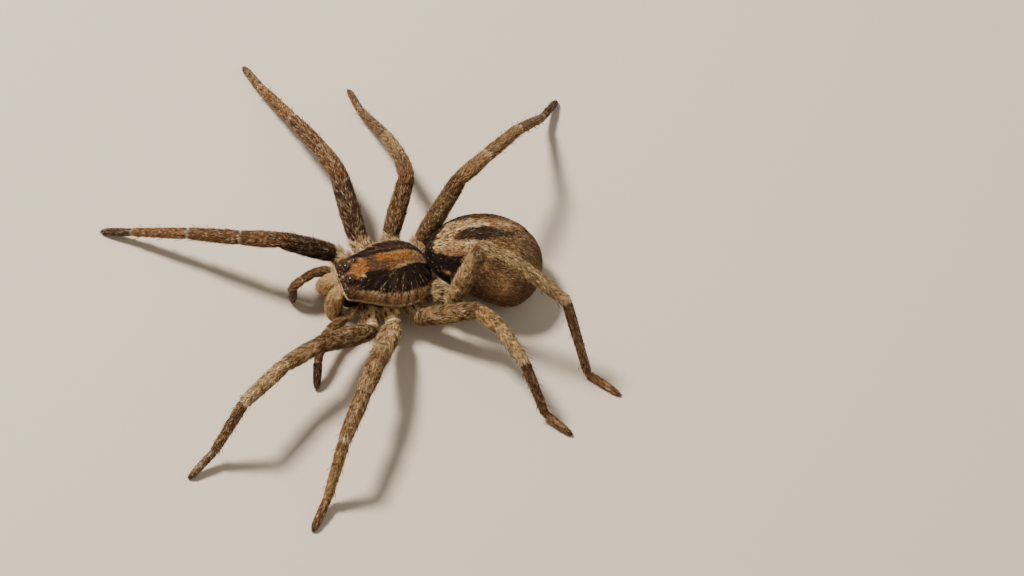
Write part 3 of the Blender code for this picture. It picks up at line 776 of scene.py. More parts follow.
def paint_abdomen(u, turn):
    level = abdomen_level(u, turn)
    part = level[:, 1] / abdomen_length
    lumps, fine, dots = grain(level, 0.9, 3), grain(level, 0.16, 4), grain(level, 0.27, 5)
    middle = np.radians(read(SPINE_LINE, part))
    side = (turn - middle + math.pi) % (2 * math.pi) - math.pi
    aside, left = np.abs(side), ramp(side, -0.1, 0.1)
    wavy = aside + 0.05 * lumps + 0.03 * fine
    colour = lay("brown", ("tan", 0.45 + 0.9 * fine), ("umber", ramp(dots, 0.10, 0.30) * 0.7))
    gold = lay("tan",                                  # the golden shoulders
        ("gold", 0.6 + lumps),
        ("cream", ramp(fine, 0.02, 0.35) * 0.9),
        ("umber", ramp(dots, 0.15, 0.28) * 0.95))
    colour = lay(colour,
        (gold, ramp(wavy, 1.05, 0.80) * ramp(part, 0.52, 0.30)),
        (lay("rust", ("umber", 0.3 + fine)), bell(wavy, 0.54, 0.09) * ramp(part, 0.44, 0.30) * left * 0.7),
        # painted shadow of the fourth left leg on the near flank
        ("umber", bell(wavy, 0.72, 0.20) * bell(part, 0.60, 0.10) * left * 0.85))
    flank = lay("umber",                               # the flanks, down to the belly
        ("chestnut", 0.5 + 0.6 * lumps),
        ("slate", 0.3 + 0.5 * fine),
        # painted highlight: a lighter tan middle on each flank
        ("tan", bell(part, 0.70, 0.13) * bell(wavy, 1.35, 0.42) * 0.65),
        ("rose", (1 - left) * (0.35 + 0.4 * fine)))
    colour = lay(colour, (flank, ramp(wavy, 0.80, 1.10) * ramp(part, 0.30, 0.38)))
    boundary = read(REAR_EDGE, wavy)
    rear_coat = lay("grey",                            # the smooth rear and the dark line before it
        ("olive", 0.5 + 0.5 * lumps),
        ("umber", 0.18 + ramp(part, 0.80, 1.0) * 0.3 + 0.3 * fine))
    colour = lay(colour,
        (rear_coat, ramp(part - boundary, -0.01, 0.03) * ramp(wavy, 1.25, 0.85)),
        ("soot", bell(part, boundary, 0.012) * ramp(aside, 0.85, 0.55) * 0.9))
    for at in CHEVRONS:
        colour = lay(colour,
            ("umber", bell(part + 0.05 * np.minimum(wavy, 0.8), at, 0.010) * ramp(wavy, 0.9, 0.5) * 0.35))
    patch = ramp(wavy + 0.42 * left - 0.42, 0.58, 0.66) * ramp(wavy, 1.85, 1.65)   # the black patch
    patch = patch * ramp(part + 0.012 * dots, 0.335, 0.315)
    colour = lay(colour, (lay("black", ("soot", 0.25 + fine)), patch))
    shoulder = 0.055 + 0.065 * (1 - left) * ramp(aside, 0.3, 0.8) + 0.008 * dots
    colour = lay(colour,
        ("black", ramp(part, shoulder + 0.015, shoulder - 0.015) * 0.95),
        ("rose", bell(part, 0.205, 0.028) * bell(aside, 1.25, 0.07)),
        ("rust", patch * bell(part, 0.29, 0.03) * bell(aside, 1.45, 0.25) * 0.8))
    leaf = read(LEAF, part) + 0.02 * fine + 0.015 * dots
    leaf = np.where((part > 0.19) & (part < 0.69), leaf, -0.3)
    border = bell(aside, leaf + 0.075, 0.045) * ramp(part, 0.22, 0.28) * ramp(part, 0.50, 0.44)
    colour = lay(colour,
        ("cream", border * (0.75 - left * 0.25) * (0.9 + fine)),
        # painted sheen: a rose and cream spot on the right of the leaf
        (lay("rose", ("cream", 0.3 + fine)), bell(part, 0.58, 0.085) * bell(side, -0.33, 0.10) * 0.9))
    blade = lay("soot",                                # the leaf, from dark to its grey tail
        ("umber", 0.45 + 0.9 * fine),
        ("chestnut", ramp(part, 0.27, 0.20) * 0.8),
        (lay("slate", ("soot", 0.3 + fine)), ramp(part, 0.49, 0.54)))
    colour = lay(colour, (blade, ramp(leaf - aside, -0.015, 0.02)))
    belly = lay("brown", ("umber", 0.4 + 0.5 * lumps), ("tan", 0.3 * ramp(fine, 0, 0.5)))
    return lay(colour, (belly, ramp(aside, 1.9, 2.3)))


print("leaf reaches", LEAF[-1][0], "of the length")

# %% [markdown]
# ## Markings of the legs
#
# Each segment has its own colour. The left legs are paler and run from straw at the base to brown at
# the foot, and the right ones have dark femora. The left legs are paler partly in their own colour and
# partly as painted light, because the left side faces the lamp. Every segment is darker underneath, as
# painted shade. Flecks run lengthwise, the joints have a pale ring, and on the two front left legs the
# trochanter is bare, with a cream arc between dark ones. One function paints them all, from a row of
# inks for each leg.

# %% paint the limbs
# the left rows are paler partly in their own colour and partly as painted light, as the left side faces the
# lamp
LEG_COLOURS = {            # coxa, femur, patella, tibia, metatarsus, tarsus
    ("left", 1): ("straw", "brown", "tan", "straw", "brown", "grey"),
    ("left", 2): ("straw", "straw", "tan", "tan", "gold", "brown"),
    ("left", 3): ("straw", "tan", "gold", "straw", "brown", "sienna"),
    ("left", 4): ("straw", "straw", "straw", "straw", "brown", "sienna"),
    ("right", 1): ("tan", "umber", "auburn", "auburn", "sienna", "umber"),
    ("right", 2): ("tan", "umber", "auburn", "auburn", "sienna", "brown"),
    ("right", 3): ("tan", "brown", "auburn", "tan", "brown", "brown"),
    ("right", 4): ("tan", "olive", "tan", "tan", "brown", "umber"),
}
MOTTLE = {("left", 1): 0.95, ("left", 2): 0.90, ("left", 3): 1.0, ("left", 4): 1.0,
          ("right", 1): 0.80, ("right", 2): 1.0, ("right", 3): 0.85, ("right", 4): 0.45}
BARE_LEGS = ("leg_left_1", "leg_left_2")                 # with bare trochanters
LEFT_COLOUR_AND_LIGHT_GAIN = 1.22                                         # the left legs are this much lighter, partly in their own colour and partly as painted light
ARCS = ((0.90, 0.16, "tan", 0.5), (0.845, 0.020, "soot", 0.9), (0.885, 0.025, "cream", 0.75),
        (0.955, 0.035, "soot", 0.9))                     # place on the coxa run, width, ink, share
PALP_COLOURS = {"left": ("straw", "brown", "tan", "auburn", "plum"),
                "right": ("straw", "brown", "auburn", "sienna", "plum")}


def paint_limb(form, row, mottle, seed, gain=1.0, arcs=0.0):
    """A paint function for a limb: one colour a run, flecks, rings and arcs."""
    inks = np.array([INK[name] for name in row])

    def paint(u, turn):
        run, part = form["where"](u)
        s = u * form["length"]
        lengthwise = np.stack([s * 0.45, np.cos(turn) * 0.9, np.sin(turn) * 0.9], 1)
        rounded = np.stack([s, np.cos(turn) * 0.8, np.sin(turn) * 0.8], 1)
        flecks, fine = grain(lengthwise, 0.24, seed), grain(rounded, 0.13, seed + 1)
        lumps = grain(rounded, 0.7, seed + 2)
        outer = run >= 1
        amount = mottle * np.where(run <= 2, 1.0, 0.75)
        pale = (0.15 + 0.30 * amount) * (1.0 if gain > 1 else 0.5)
        # painted shade: every segment is darker underneath
        below = ramp(np.cos(turn), -0.2, -0.9)
        ring = bell(part, 0.975, 0.022) * np.isin(run, (2, 3)) + bell(part, 0.985, 0.02) * (run == 4) * 0.6
        trochanter = (run == 0) * ramp(part, 0.76, 0.80) * arcs
        colour = lay(inks[run] * gain * (1 + 0.25 * lumps + 0.40 * fine)[:, None],
            ("soot", ramp(flecks, np.where(outer, 0.16, 0.04), 0.34) * amount * np.where(outer, 0.75, 1.0)),
            ("cream", ramp(flecks, -0.12, -0.34) * np.where(outer, pale, 0.8)),
            ("plum", ramp(lumps, -0.12, -0.40) * amount * 0.45 * outer),
            ("umber", ramp(lumps, 0.16, 0.42) * amount * 0.6 * outer),
            ("rust", bell(part, 0.95, 0.06) * (run == 1) * ramp(np.cos(turn), 0.2, 0.8) * 0.7),
            ("umber", ramp(part, 0.65, 0.92) * (run == 1) * 0.35),
            ("soot", (bell(np.sin(turn), 0.75, 0.16) + bell(np.sin(turn), -0.75, 0.16)) * (run >= 3) * 0.35),
            # painted shade on the underside
            ("umber", below * 0.30),
            ("cream", ring * 0.85),
            ("umber", bell(part, 0.03, 0.02) * (run >= 2) * 0.6),
            *((ink, bell(part, at, wide) * trochanter * share) for at, wide, ink, share in ARCS),
            ("soot", ramp(part, 0.065, 0.025) * (run == 1) * arcs * 0.9),
            ("soot", ramp(part, 0.60, 1.0) * (run == 5) * 0.45))
        return np.clip(colour, 0.002, 1)

    return paint


def paint_jaw(u, turn):
    points = np.stack([u * 4, np.cos(turn), np.sin(turn)], 1)
    fine, lumps, lines = grain(points, 0.13, 7), grain(points, 0.7, 8), grain(points * (0.5, 3, 3), 0.42, 9)
    return lay(lay("gold", ("straw", 0.55 + 0.8 * fine)) * 1.12,
        ("umber", ramp(lines, 0.14, 0.34) * 0.55),
        ("cream", ramp(lines, -0.15, -0.35) * 0.5),
        ("rust", ramp(u, 0.66, 0.94) * 0.75 + 0.2 * ramp(lumps, 0.1, 0.4)),
        # painted shade: the back of the jaw, towards the mouth, is darker
        ("umber", ramp(np.cos(turn), -0.2, -0.8) * 0.8),
        ("black", ramp(u, 0.93, 0.97)))


def paint_plain(name, darker):
    def paint(u, turn):
        points = np.stack([u * 3, np.cos(turn), np.sin(turn)], 1)
        return lay(name, (darker, 0.5 + 0.8 * grain(points, 0.3, 9)))
    return paint


for k, ((side, number), row) in enumerate(LEG_COLOURS.items()):
    name = f"leg_{side}_{number}"
    FORMS[name]["paint"] = paint_limb(FORMS[name], row, MOTTLE[side, number], 10 + 3 * k,
                                      LEFT_COLOUR_AND_LIGHT_GAIN if side == "left" else 1.0, float(name in BARE_LEGS))
for side in SIDES:
    FORMS[f"palp_{side}"]["paint"] = paint_limb(FORMS[f"palp_{side}"], PALP_COLOURS[side], 0.5, 40)
FORMS["trunk"]["paint"] = paint_trunk
FORMS["abdomen"]["paint"] = paint_abdomen
for name, form in FORMS.items():
    if name.startswith("chelicera"):
        form["paint"] = paint_jaw
    elif name.startswith("spinneret"):
        form["paint"] = paint_plain("brown", "umber")
    elif "paint" not in form:                            # pedicel, maxillae and labium
        form["paint"] = paint_plain("umber", "soot")
print("painted forms:", sum("paint" in form for form in FORMS.values()), "of", len(FORMS))

# %% [markdown]
# ## Materials
#
# Skin and coat read their colour from a colour attribute called markings, which the paint functions
# fill, because noise in a shader can't know where a rim or a joint is. A node group, hair_grain, adds
# what is too fine for the mesh: a fibre pattern that varies the colour, the roughness and the height.
# Horn is nearly black and polished, and the eyes are dark glass, both with a soft lighter cloud
# inside.

# %% the hair_grain node group
MIX_UNDER, MIX_OVER, MIX_OUT = 6, 7, 2     # the colour sockets of a mix node


def wire(tree, *wires):
    """Joins sockets. Each wire is (node, output, node, input)."""
    for start, output, end, entry in wires:
        tree.links.new(start.outputs[output], end.inputs[entry])


def hair_grain_group():
    group = bpy.data.node_groups.new("hair_grain", "ShaderNodeTree")
    for name, kind, value in (("Colour", "NodeSocketColor", (0.5, 0.4, 0.3, 1)),
                              ("Scale", "NodeSocketFloat", 9000.0), ("Contrast", "NodeSocketFloat", 0.5)):
        group.interface.new_socket(name, in_out="INPUT", socket_type=kind).default_value = value
    for name, kind in (("Colour", "NodeSocketColor"), ("Roughness", "NodeSocketFloat"),
                       ("Height", "NodeSocketFloat")):
        group.interface.new_socket(name, in_out="OUTPUT", socket_type=kind)
    new = group.nodes.new
    given, out, place = new("NodeGroupInput"), new("NodeGroupOutput"), new("ShaderNodeTexCoord")
    fibres = dial(new("ShaderNodeTexNoise"), Detail=3.0, Roughness=0.65)
    light = dial(new("ShaderNodeMapRange"), From_Min=0.25, From_Max=0.75, To_Min=0.55, To_Max=1.45)
    rough = dial(new("ShaderNodeMapRange"), To_Min=0.78, To_Max=0.46)
    tinted = new("ShaderNodeMix")
    tinted.data_type, tinted.blend_type = "RGBA", "MULTIPLY"
    wire(group,
         (place, "Object", fibres, "Vector"), (given, "Scale", fibres, "Scale"),
         (fibres, "Fac", light, "Value"), (fibres, "Fac", rough, "Value"),
         (given, "Contrast", tinted, "Factor"), (given, "Colour", tinted, MIX_UNDER),
         (light, "Result", tinted, MIX_OVER), (tinted, MIX_OUT, out, "Colour"),
         (rough, "Result", out, "Roughness"), (fibres, "Fac", out, "Height"))
    return group


HAIR_GRAIN = hair_grain_group()
print("group outputs:", [s.name for s in HAIR_GRAIN.interface.items_tree if s.in_out == "OUTPUT"])


# %% skin, coat, horn and eye materials
def marked_material(name, scale, contrast, bump, sheen):
    """A material that reads the markings and adds the grain of hair."""
    material, tree, shader = new_material(name)
    markings = tree.nodes.new("ShaderNodeAttribute")
    markings.attribute_name = "markings"
    grained = tree.nodes.new("ShaderNodeGroup")
    grained.node_tree = HAIR_GRAIN
    dial(grained, Scale=scale, Contrast=contrast)
    raised = dial(tree.nodes.new("ShaderNodeBump"), Strength=bump, Distance=0.00005)
    dial(shader, Specular_IOR_Level=0.15, Sheen_Weight=sheen, Sheen_Roughness=0.4)
    wire(tree,
         (markings, "Color", grained, "Colour"), (grained, "Colour", shader, "Base Color"),
         (grained, "Roughness", shader, "Roughness"), (grained, "Height", raised, "Height"),
         (raised, "Normal", shader, "Normal"))
    return material


def clouded_material(name, dark, light, scale, roughness):
    """A smooth material, with a soft cloud of a lighter colour in it. Returns its cloud as well."""
    material, tree, shader = new_material(name, roughness)
    place, fade = tree.nodes.new("ShaderNodeTexCoord"), tree.nodes.new("ShaderNodeValToRGB")
    cloud = dial(tree.nodes.new("ShaderNodeTexNoise"), Scale=scale)
    for element, colour in zip(fade.color_ramp.elements, (dark, light)):
        element.color = (*colour, 1)
    wire(tree, (place, "Object", cloud, "Vector"), (cloud, "Fac", fade, "Fac"),
         (fade, "Color", shader, "Base Color"))
    return material, tree, shader, cloud


def horn_material(name, colour, roughness):
    """Polished horn, a little lighter here and there, with an uneven polish."""
    dark = linear(colour)
    material, tree, shader, cloud = clouded_material(name, dark, dark * 2.6, 2500.0, roughness)
    rough = dial(tree.nodes.new("ShaderNodeMapRange"), To_Min=roughness * 0.8, To_Max=roughness * 1.5)
    wire(tree, (cloud, "Fac", rough, "Value"), (rough, "Result", shader, "Roughness"))
    return material


def eye_material():
    """A dark glassy lens, with a faint reddish cloud inside it."""
    material, _, shader, _ = clouded_material(
        "dark_eye", (0.004, 0.003, 0.003), (0.035, 0.014, 0.007), 1800.0, 0.16)
    dial(shader, Coat_Weight=0.25, Coat_Roughness=0.08)
    return material


SKIN = marked_material("hairy_skin", 7000.0, 0.8, 0.9, 0.08)
COAT = marked_material("hair_tufts", 16000.0, 0.45, 0.3, 0.03)
HORN = horn_material("dark_horn", (38, 20, 14), 0.20)
SPINE = horn_material("spine_horn", (46, 30, 20), 0.35)
RIM = horn_material("eye_rim_horn", (46, 26, 16), 0.40)
EYE = eye_material()
print("materials:", [m.name for m in bpy.data.materials if m.users or m.name.startswith("hair")])

# %% [markdown]
# ## One skin
#
# Each form starts as a flat grid. Its corners are carried to the surface by the form's own function,
# which rolls the sheet into a tube or an egg, and its two edges and its pinched ends are welded. All
# the forms then go into one mesh. Separate segments would show as gaps between the hairs, and a live
# spider has one skin over all of them.

# %% roll the forms and join them
GRIDS = {"leg": (165, 26), "palp": (90, 20), "pedicel": (10, 16), "spinneret": (16, 14), "trunk": (112, 112),
         "maxilla": (18, 18), "labium": (14, 14), "chelicera": (44, 36), "abdomen": (120, 96)}
WELD = 2e-6                # metres


def rolled(form, along, around):
    """A bmesh of the form: a grid carried to its surface, painted and welded."""
    bm = bmesh.new()
    bmesh.ops.create_grid(bm, x_segments=along, y_segments=around, size=0.5)
    flat_places = np.array([v.co.xy for v in bm.verts])
    u, turn = flat_places[:, 0] + 0.5, flat_places[:, 1] * 2 * math.pi
    places, colours = form["place"](u, turn), form["paint"](u, turn)
    places[:, 2] = np.maximum(places[:, 2], 0)         # nothing goes below the floor
    markings = bm.verts.layers.float_color.new("markings")
    for vert, place, colour in zip(bm.verts, places, colours):
        vert.co = place
        vert[markings] = (*colour, 1.0)
    bmesh.ops.remove_doubles(bm, verts=bm.verts, dist=WELD)
    bmesh.ops.dissolve_degenerate(bm, edges=bm.edges, dist=WELD)
    open_edges = [edge for edge in bm.edges if edge.is_boundary]
    if open_edges:
        bmesh.ops.holes_fill(bm, edges=open_edges, sides=0)
    bmesh.ops.recalc_face_normals(bm, faces=bm.faces)
    return bm


def joined(parts):
    """One bmesh of several forms, from (form, grid) pairs."""
    whole = bmesh.new()
    for form, grid in parts:
        part = rolled(form, *grid)
        scratch = bpy.data.meshes.new("scratch")
        part.to_mesh(scratch)
        part.free()
        whole.from_mesh(scratch)
        bpy.data.meshes.remove(scratch)
    return whole


skin = mesh_object("skin", joined((form, GRIDS[name.split("_")[0]]) for name, form in FORMS.items()), SKIN)
print("skin has", len(skin.data.polygons), "faces")

# %% [markdown]
# ## The coat
#
# The coat could be a hair system, but strands are lost where only meshes are kept, so each lock of
# hair is a real spike. A tuft is three-sided, with one bend and ten triangles in all, because there
# will be nearly 150,000 of them.

# %% the tuft
def tuft_shape():
    """Corners (across, out, along) and triangles of one tuft, root at 0 and tip at 1."""
    bm = bmesh.new()
    root = bmesh.ops.create_circle(bm, cap_ends=True, segments=3, radius=1.0)["verts"]
    for height, girth in ((0.45, 0.85), (1.0, 0.0)):
        ring = {e for v in root for e in v.link_edges if all(w in root for w in e.verts)}
        grown = bmesh.ops.extrude_edge_only(bm, edges=list(ring))["geom"]
        root = [item for item in grown if isinstance(item, bmesh.types.BMVert)]
        for vert in root:
            place = Vector((vert.co.x, vert.co.y, 0)).normalized() * girth
            vert.co = (place.x, place.y, height)
    bmesh.ops.remove_doubles(bm, verts=bm.verts, dist=1e-4)
    bmesh.ops.triangulate(bm, faces=bm.faces)
    bmesh.ops.recalc_face_normals(bm, faces=bm.faces)
    bm.verts.index_update()
    shape = np.array([v.co for v in bm.verts]), np.array([[v.index for v in f.verts] for f in bm.faces])
    bm.free()
    return shape


TUFT, TUFT_FACES = tuft_shape()
print("a tuft has", len(TUFT), "corners and", len(TUFT_FACES), "triangles")


# %% [markdown]
# ### Where tufts stand
#
# Roots are scattered evenly over a form by area, or more thinly where a density says so. A cell of
# the unrolled form is drawn first, with a chance that follows its area, and then a place inside it.
# Each root gets the surface's own directions: along, across and out of the skin.

# %% scatter the roots
def unit(vectors):
    return vectors / np.maximum(np.linalg.norm(vectors, axis=1, keepdims=True), 1e-12)


def directions(form, u, turn):
    """The surface's point and its unit ways along, across and out, at places on a form."""
    small = 1e-4
    point = form["place"](u, turn)
    ahead, behind = np.clip(u + small, 0, 1), np.clip(u - small, 0, 1)
    along = unit(form["place"](ahead, turn) - form["place"](behind, turn))
    across = unit(form["place"](u, turn + small) - form["place"](u, turn - small))
    out = unit(np.cross(across, along))
    return point, along, across, out


def scatter(form, count, rng, density=None):
    """Places on the form, spread evenly by area, or by a density from 0 to 1 over it."""
    cells_u, cells_t = 240, 72
    u = (np.arange(cells_u) + 0.5) / cells_u
    t = ((np.arange(cells_t) + 0.5) / cells_t - 0.5) * 2 * math.pi
    uu, tt = (grid.ravel() for grid in np.meshgrid(u, t, indexing="ij"))
    du, dt = 0.45 / cells_u, 0.9 * math.pi / cells_t
    side_u = form["place"](uu + du, tt) - form["place"](uu - du, tt)
    side_t = form["place"](uu, tt + dt) - form["place"](uu, tt - dt)
    weight = np.linalg.norm(np.cross(side_u, side_t), axis=1)
    if density is not None:
        weight = weight * density(uu, tt)
    cell = rng.choice(len(uu), count, p=weight / weight.sum())
    return (uu[cell] + (rng.random(count) - 0.5) / cells_u,
            tt[cell] + (rng.random(count) - 0.5) * 2 * math.pi / cells_t)


near_foot = scatter(FORMS["leg_left_1"], 1000, np.random.default_rng(1))[0] > 0.5
print("of 1000 roots on a leg,", near_foot.sum(), "stand on the half near the foot")

# %% [markdown]
# ### How tufts lie and look
#
# A tuft leaves the skin at its lift, then bends down along it. It takes its colour from the markings
# at its root, a little lighter or darker than its neighbours, so the coat never looks painted. A few
# strays stand up. Each tuft also gets a tiny patch of the OFBake map, at its root's place on the
# unrolled form.

# %% plant a batch of tufts
PATCH = 0.003                          # side of a tuft's patch on the map
BEND, SUNK = 0.10, 0.012               # how far the tip bends back, in lengths; depth of the root in mm
FLATNESS = 0.45                        # thickness over width
LENGTHS, WIDTHS = (0.65, 1.25), (0.75, 1.25)   # how much tufts vary, as shares
LIFT_SPREAD = 0.07                     # radians
STRAY_LIFTS, STRAY_WIDTH = (0.4, 0.9), 0.55    # strays stand up from the rest and are thinner
TONES, TONE_RANGE = 0.26, (0.4, 1.8)   # how much tufts vary in lightness
DARK_SHARE, DARK_TONE = 0.07, 0.45     # a few tufts are much darker
PALE_INK, PALE_STRENGTH = INK["cream"] * 0.9, 0.55
ROOT_SHADE, SHADE_GAIN = 0.66, 0.62      # tufts are darker at the root, as painted shade under the coat


def coat_arrays(form, count, length, width, lift, seed,
                density=None, lie=None, strays=0.03, jitter=0.24, pale=0.10):
    """Corners, colours and map places of the tufts of one form."""
    rng = np.random.default_rng(seed)
    u, turn = scatter(form, count, rng, density)
    root, along, across, out = directions(form, u, turn)
    centre = form["place"](u, turn + math.pi)
    out = np.where(((root - centre) * out).sum(1, keepdims=True) < 0, -out, out)
    way = along if lie is None else unit(lie(u, turn, root, along, across, out))
    way = unit(way + across * rng.normal(0, jitter, count)[:, None])
    way = unit(way - out * (way * out).sum(1, keepdims=True))
    side = np.cross(out, way)
    long = (length(u, turn) if callable(length) else np.full(count, length)) * MM
    long = long * rng.uniform(*LENGTHS, count)
    raised = (lift(u, turn) if callable(lift) else lift) + rng.normal(0, LIFT_SPREAD, count)
    raised = raised[:, None, None]
    stray = rng.random(count) < strays
    raised[stray] += rng.uniform(*STRAY_LIFTS, stray.sum())[:, None, None]
    wide = (width * MM * rng.uniform(*WIDTHS, count) * np.where(stray, STRAY_WIDTH, 1.0))[:, None, None]
    x, y, z = TUFT[None, :, 0:1], TUFT[None, :, 1:2], TUFT[None, :, 2:3]
    reach = long[:, None, None]
    forward = way[:, None] * (reach * z * np.cos(raised))
    upward = out[:, None] * reach * (z * np.sin(raised) - BEND * z * z)
    girth = side[:, None] * (wide * x) + out[:, None] * (wide * FLATNESS * y - SUNK * MM)
    places = root[:, None] + (forward + upward) + girth
    colour = form["paint"](u, turn) * rng.normal(1.0, TONES, count).clip(*TONE_RANGE)[:, None]
    colour = colour * np.where(rng.random(count) < DARK_SHARE, DARK_TONE, 1.0)[:, None]
    colour = lay(colour, (PALE_INK, np.where(rng.random(count) < pale, PALE_STRENGTH, 0.0)))
    # painted shade: each tuft darker towards its root
    colours = np.clip(colour[:, None] * (ROOT_SHADE + SHADE_GAIN * z), 0, 1)
    spot = np.stack([u, turn / (2 * math.pi) + 0.5], 1) * (1 - 2 * PATCH) + PATCH
    patch = np.stack([TUFT[:, 0] * 0.4, TUFT[:, 2] - 0.5], 1) * PATCH
    return places.reshape(-1, 3), colours.reshape(-1, 3), (spot[:, None] + patch[None]).reshape(-1, 2)


print("a tuft's length varies between", LENGTHS, "of its form's, its width between", WIDTHS)


# %% build one coat from its batches
LOWEST = 0.00001                       # metres; no hair comes closer to the floor


def coat_piece(name, batches):
    """One mesh of tufts from several batches of arrays, each on its own strip of the map."""
    places = np.concatenate([b[0] for b in batches])
    colours = np.concatenate([b[1] for b in batches])
    strips = len(batches)
    spots = np.concatenate([b[2] * (1, 1 / strips) + (0, k / strips) for k, b in enumerate(batches)])
    places[:, 2] = np.maximum(places[:, 2], LOWEST)
    count = len(places) // len(TUFT)
    faces = (TUFT_FACES[None] + np.arange(count)[:, None, None] * len(TUFT)).reshape(-1)
    mesh = bpy.data.meshes.new(name)
    mesh.vertices.add(len(places))
    mesh.vertices.foreach_set("co", places.astype(np.float32).ravel())
    mesh.loops.add(len(faces))
    mesh.loops.foreach_set("vertex_index", faces.astype(np.int32))
    mesh.polygons.add(len(faces) // 3)
    mesh.polygons.foreach_set("loop_start", np.arange(0, len(faces), 3, dtype=np.int32))
    mesh.update(calc_edges=True)
    marks = mesh.attributes.new("markings", "FLOAT_COLOR", "POINT")
    marks.data.foreach_set("color", np.c_[colours, np.ones(len(colours))].astype(np.float32).ravel())
    map_layer = mesh.uv_layers.new(name="OFBake")
    map_layer.uv.foreach_set("vector", spots[faces].astype(np.float32).ravel())
    mesh.shade_smooth()
    mesh.materials.append(COAT)
    return placed(name, mesh)


print("map patch for each tuft:", PATCH, "of the map's side")

# %% [markdown]
# ## Plant the legs
#
# Hair on a leg lies towards the foot. It is longest at the base and shortest on the foot, and the
# part of the coxa inside the body has none. On the two front left legs the trochanter is almost
# bare, so the hair before it is short and leaves the arcs open.

# %% leg coats
LEG_TUFTS, LEG_HAIR_WIDTH = 11000, 0.038
HAIR_LENGTH = np.array((0.95, 0.70, 0.58, 0.56, 0.46, 0.34))      # mm, by run, coxa to tarsus
SHORT_FROM, SHORT = 0.42, 0.32         # part of the coxa run, and share of the length, on the bare legs
HIDDEN = 0.20                          # part of the coxa run that lies inside the body
BARE_FROM, BARE_TO, BARE_DENSITY = 0.77, 0.045, 0.06   # on the coxa run, on the femur, and tufts left
COXA_LIFT, LEG_LIFT = 0.50, 0.32       # radians from the skin


def leg_coat(name, seed):
    form, short = FORMS[name], name in BARE_LEGS

    def length(u, turn):
        run, part = form["where"](u)
        return HAIR_LENGTH[run] * np.where((run == 0) & (part > SHORT_FROM) & short, SHORT, 1.0)

    def density(u, turn):
        run, part = form["where"](u)
        bare = (((part > BARE_FROM) & (run == 0)) | ((part < BARE_TO) & (run == 1))) & short
        return np.where((run == 0) & (part < HIDDEN), 0.0, np.where(bare, BARE_DENSITY, 1.0))

    def lift(u, turn):
        return np.where((form["where"](u)[0] == 0) & (not short), COXA_LIFT, LEG_LIFT)

    return coat_piece(f"coat_{name}", [
        coat_arrays(form, LEG_TUFTS, length, LEG_HAIR_WIDTH, lift, seed, density,
                    strays=0.06, jitter=0.30, pale=0.09)])


coats = [leg_coat(f"leg_{side}_{number}", 100 + 10 * k + number)
         for k, side in enumerate(SIDES) for number in (1, 2, 3, 4)]
print("leg tufts:", sum(len(c.data.polygons) for c in coats) // len(TUFT_FACES))

# %% [markdown]
# ## Plant the body
#
# On the carapace the hair points away from the pit, which makes the pale lines fan out. On the
# abdomen it lies back, and on the jaws, which are bristly, it lies down. A row of settings for each
# piece is enough, because the forms know their own directions.

# %% body coats
PIT_TOP = 2.4              # mm above the rim
TOP_HAIR, SNOUT_SHORTER, UNDER_HAIR = 0.34, 0.14, 0.50     # mm


def from_pit(u, turn, root, along, across, out):
    """Away from the pit on the carapace, and straight back on the underside."""
    away = root - carried(np.array([[0.0, FOVEA, PIT_TOP]]), PROSOMA)
    return np.where((np.abs(turn) > math.pi / 2)[:, None], along, away)


def trunk_length(u, turn):
    top_hair = TOP_HAIR - SNOUT_SHORTER * ramp(trunk_plan(u)[0], -3.5, -5.0)
    return np.where(np.abs(turn) < math.pi / 2, top_hair, UNDER_HAIR)


def trunk_density(u, turn):
    """Less where it is hidden, and none over the eyes."""
    level = trunk_level(u, turn)
    clear = np.ones(len(u))
    for side in SIDES:
        for kind in EYE_SIGHT:
            middle, extent = eye_place(kind, side)
            radius = extent.length / 2 / math.sqrt(3) / MM
            gap = np.linalg.norm(level - np.array(PROSOMA.inverted() @ middle), axis=1)
            clear *= ramp(gap, radius * 1.1, radius * 1.25)
    return clear * np.where(np.abs(turn) < math.pi / 2, 1.0, 0.45)


def above_fang(u, turn):
    """None on the tip of a jaw, where the fang starts."""
    return ramp(u, 0.93, 0.90)


BODY_COATS = {             # piece: (forms, tufts on each, length and width in mm, lift, seed, the rest)
    "coat_trunk": (("trunk", 17500, trunk_length, 0.030, 0.20, 201, {
        "density": trunk_density, "lie": from_pit, "strays": 0.02, "jitter": 0.16, "pale": 0.008}),),
    "coat_abdomen": (("abdomen", 19500, 0.44, 0.040, 0.22, 202, {"strays": 0.02, "pale": 0.03}),),
    "coat_head": (("chelicera", 3600, 0.36, 0.032, 0.30, 203, {"density": above_fang, "strays": 0.06}),
                  ("maxilla", 900, 0.30, 0.030, 0.3, 205, {}), ("labium", 300, 0.25, 0.030, 0.3, 207, {})),
    "coat_palps": (("palp", 5200, 0.42, 0.036, 0.30, 210, {"strays": 0.06}),),
    "coat_rear": (("spinneret", 500, 0.26, 0.030, 0.25, 220, {}),
                  ("pedicel", 300, 0.30, 0.030, 0.3, 225, {})),
}


def body_batches(start, count, length, width, lift, seed, rest):
    """The tufts of all forms whose names start like this, each form with a seed of its own."""
    forms = [form for name, form in FORMS.items() if name.startswith(start)]
    return [coat_arrays(form, count, length, width, lift, seed + k, **rest) for k, form in enumerate(forms)]


for name, rows in BODY_COATS.items():
    coats.append(coat_piece(name, [batch for row in rows for batch in body_batches(*row)]))
print("coat triangles:", {c.name: len(c.data.polygons) for c in coats})
print("all coats:", sum(len(c.data.polygons) for c in coats))

# %% [markdown]
# ## Eyes
#
# A wolf spider has eight eyes: a row of four small ones low on the face, two very large ones above
# them that look forward, and two more set back on the head. A ball alone would look dropped on the
# hair, so each lens sits in a thin raised rim of bare dark cuticle, a ring spun round the line of
# sight.

# %% eyes and rims
RIM_GIRTH, RIM_REACH, RIM_RISE = 0.16, 0.96, 0.22     # as shares of the eye's radius


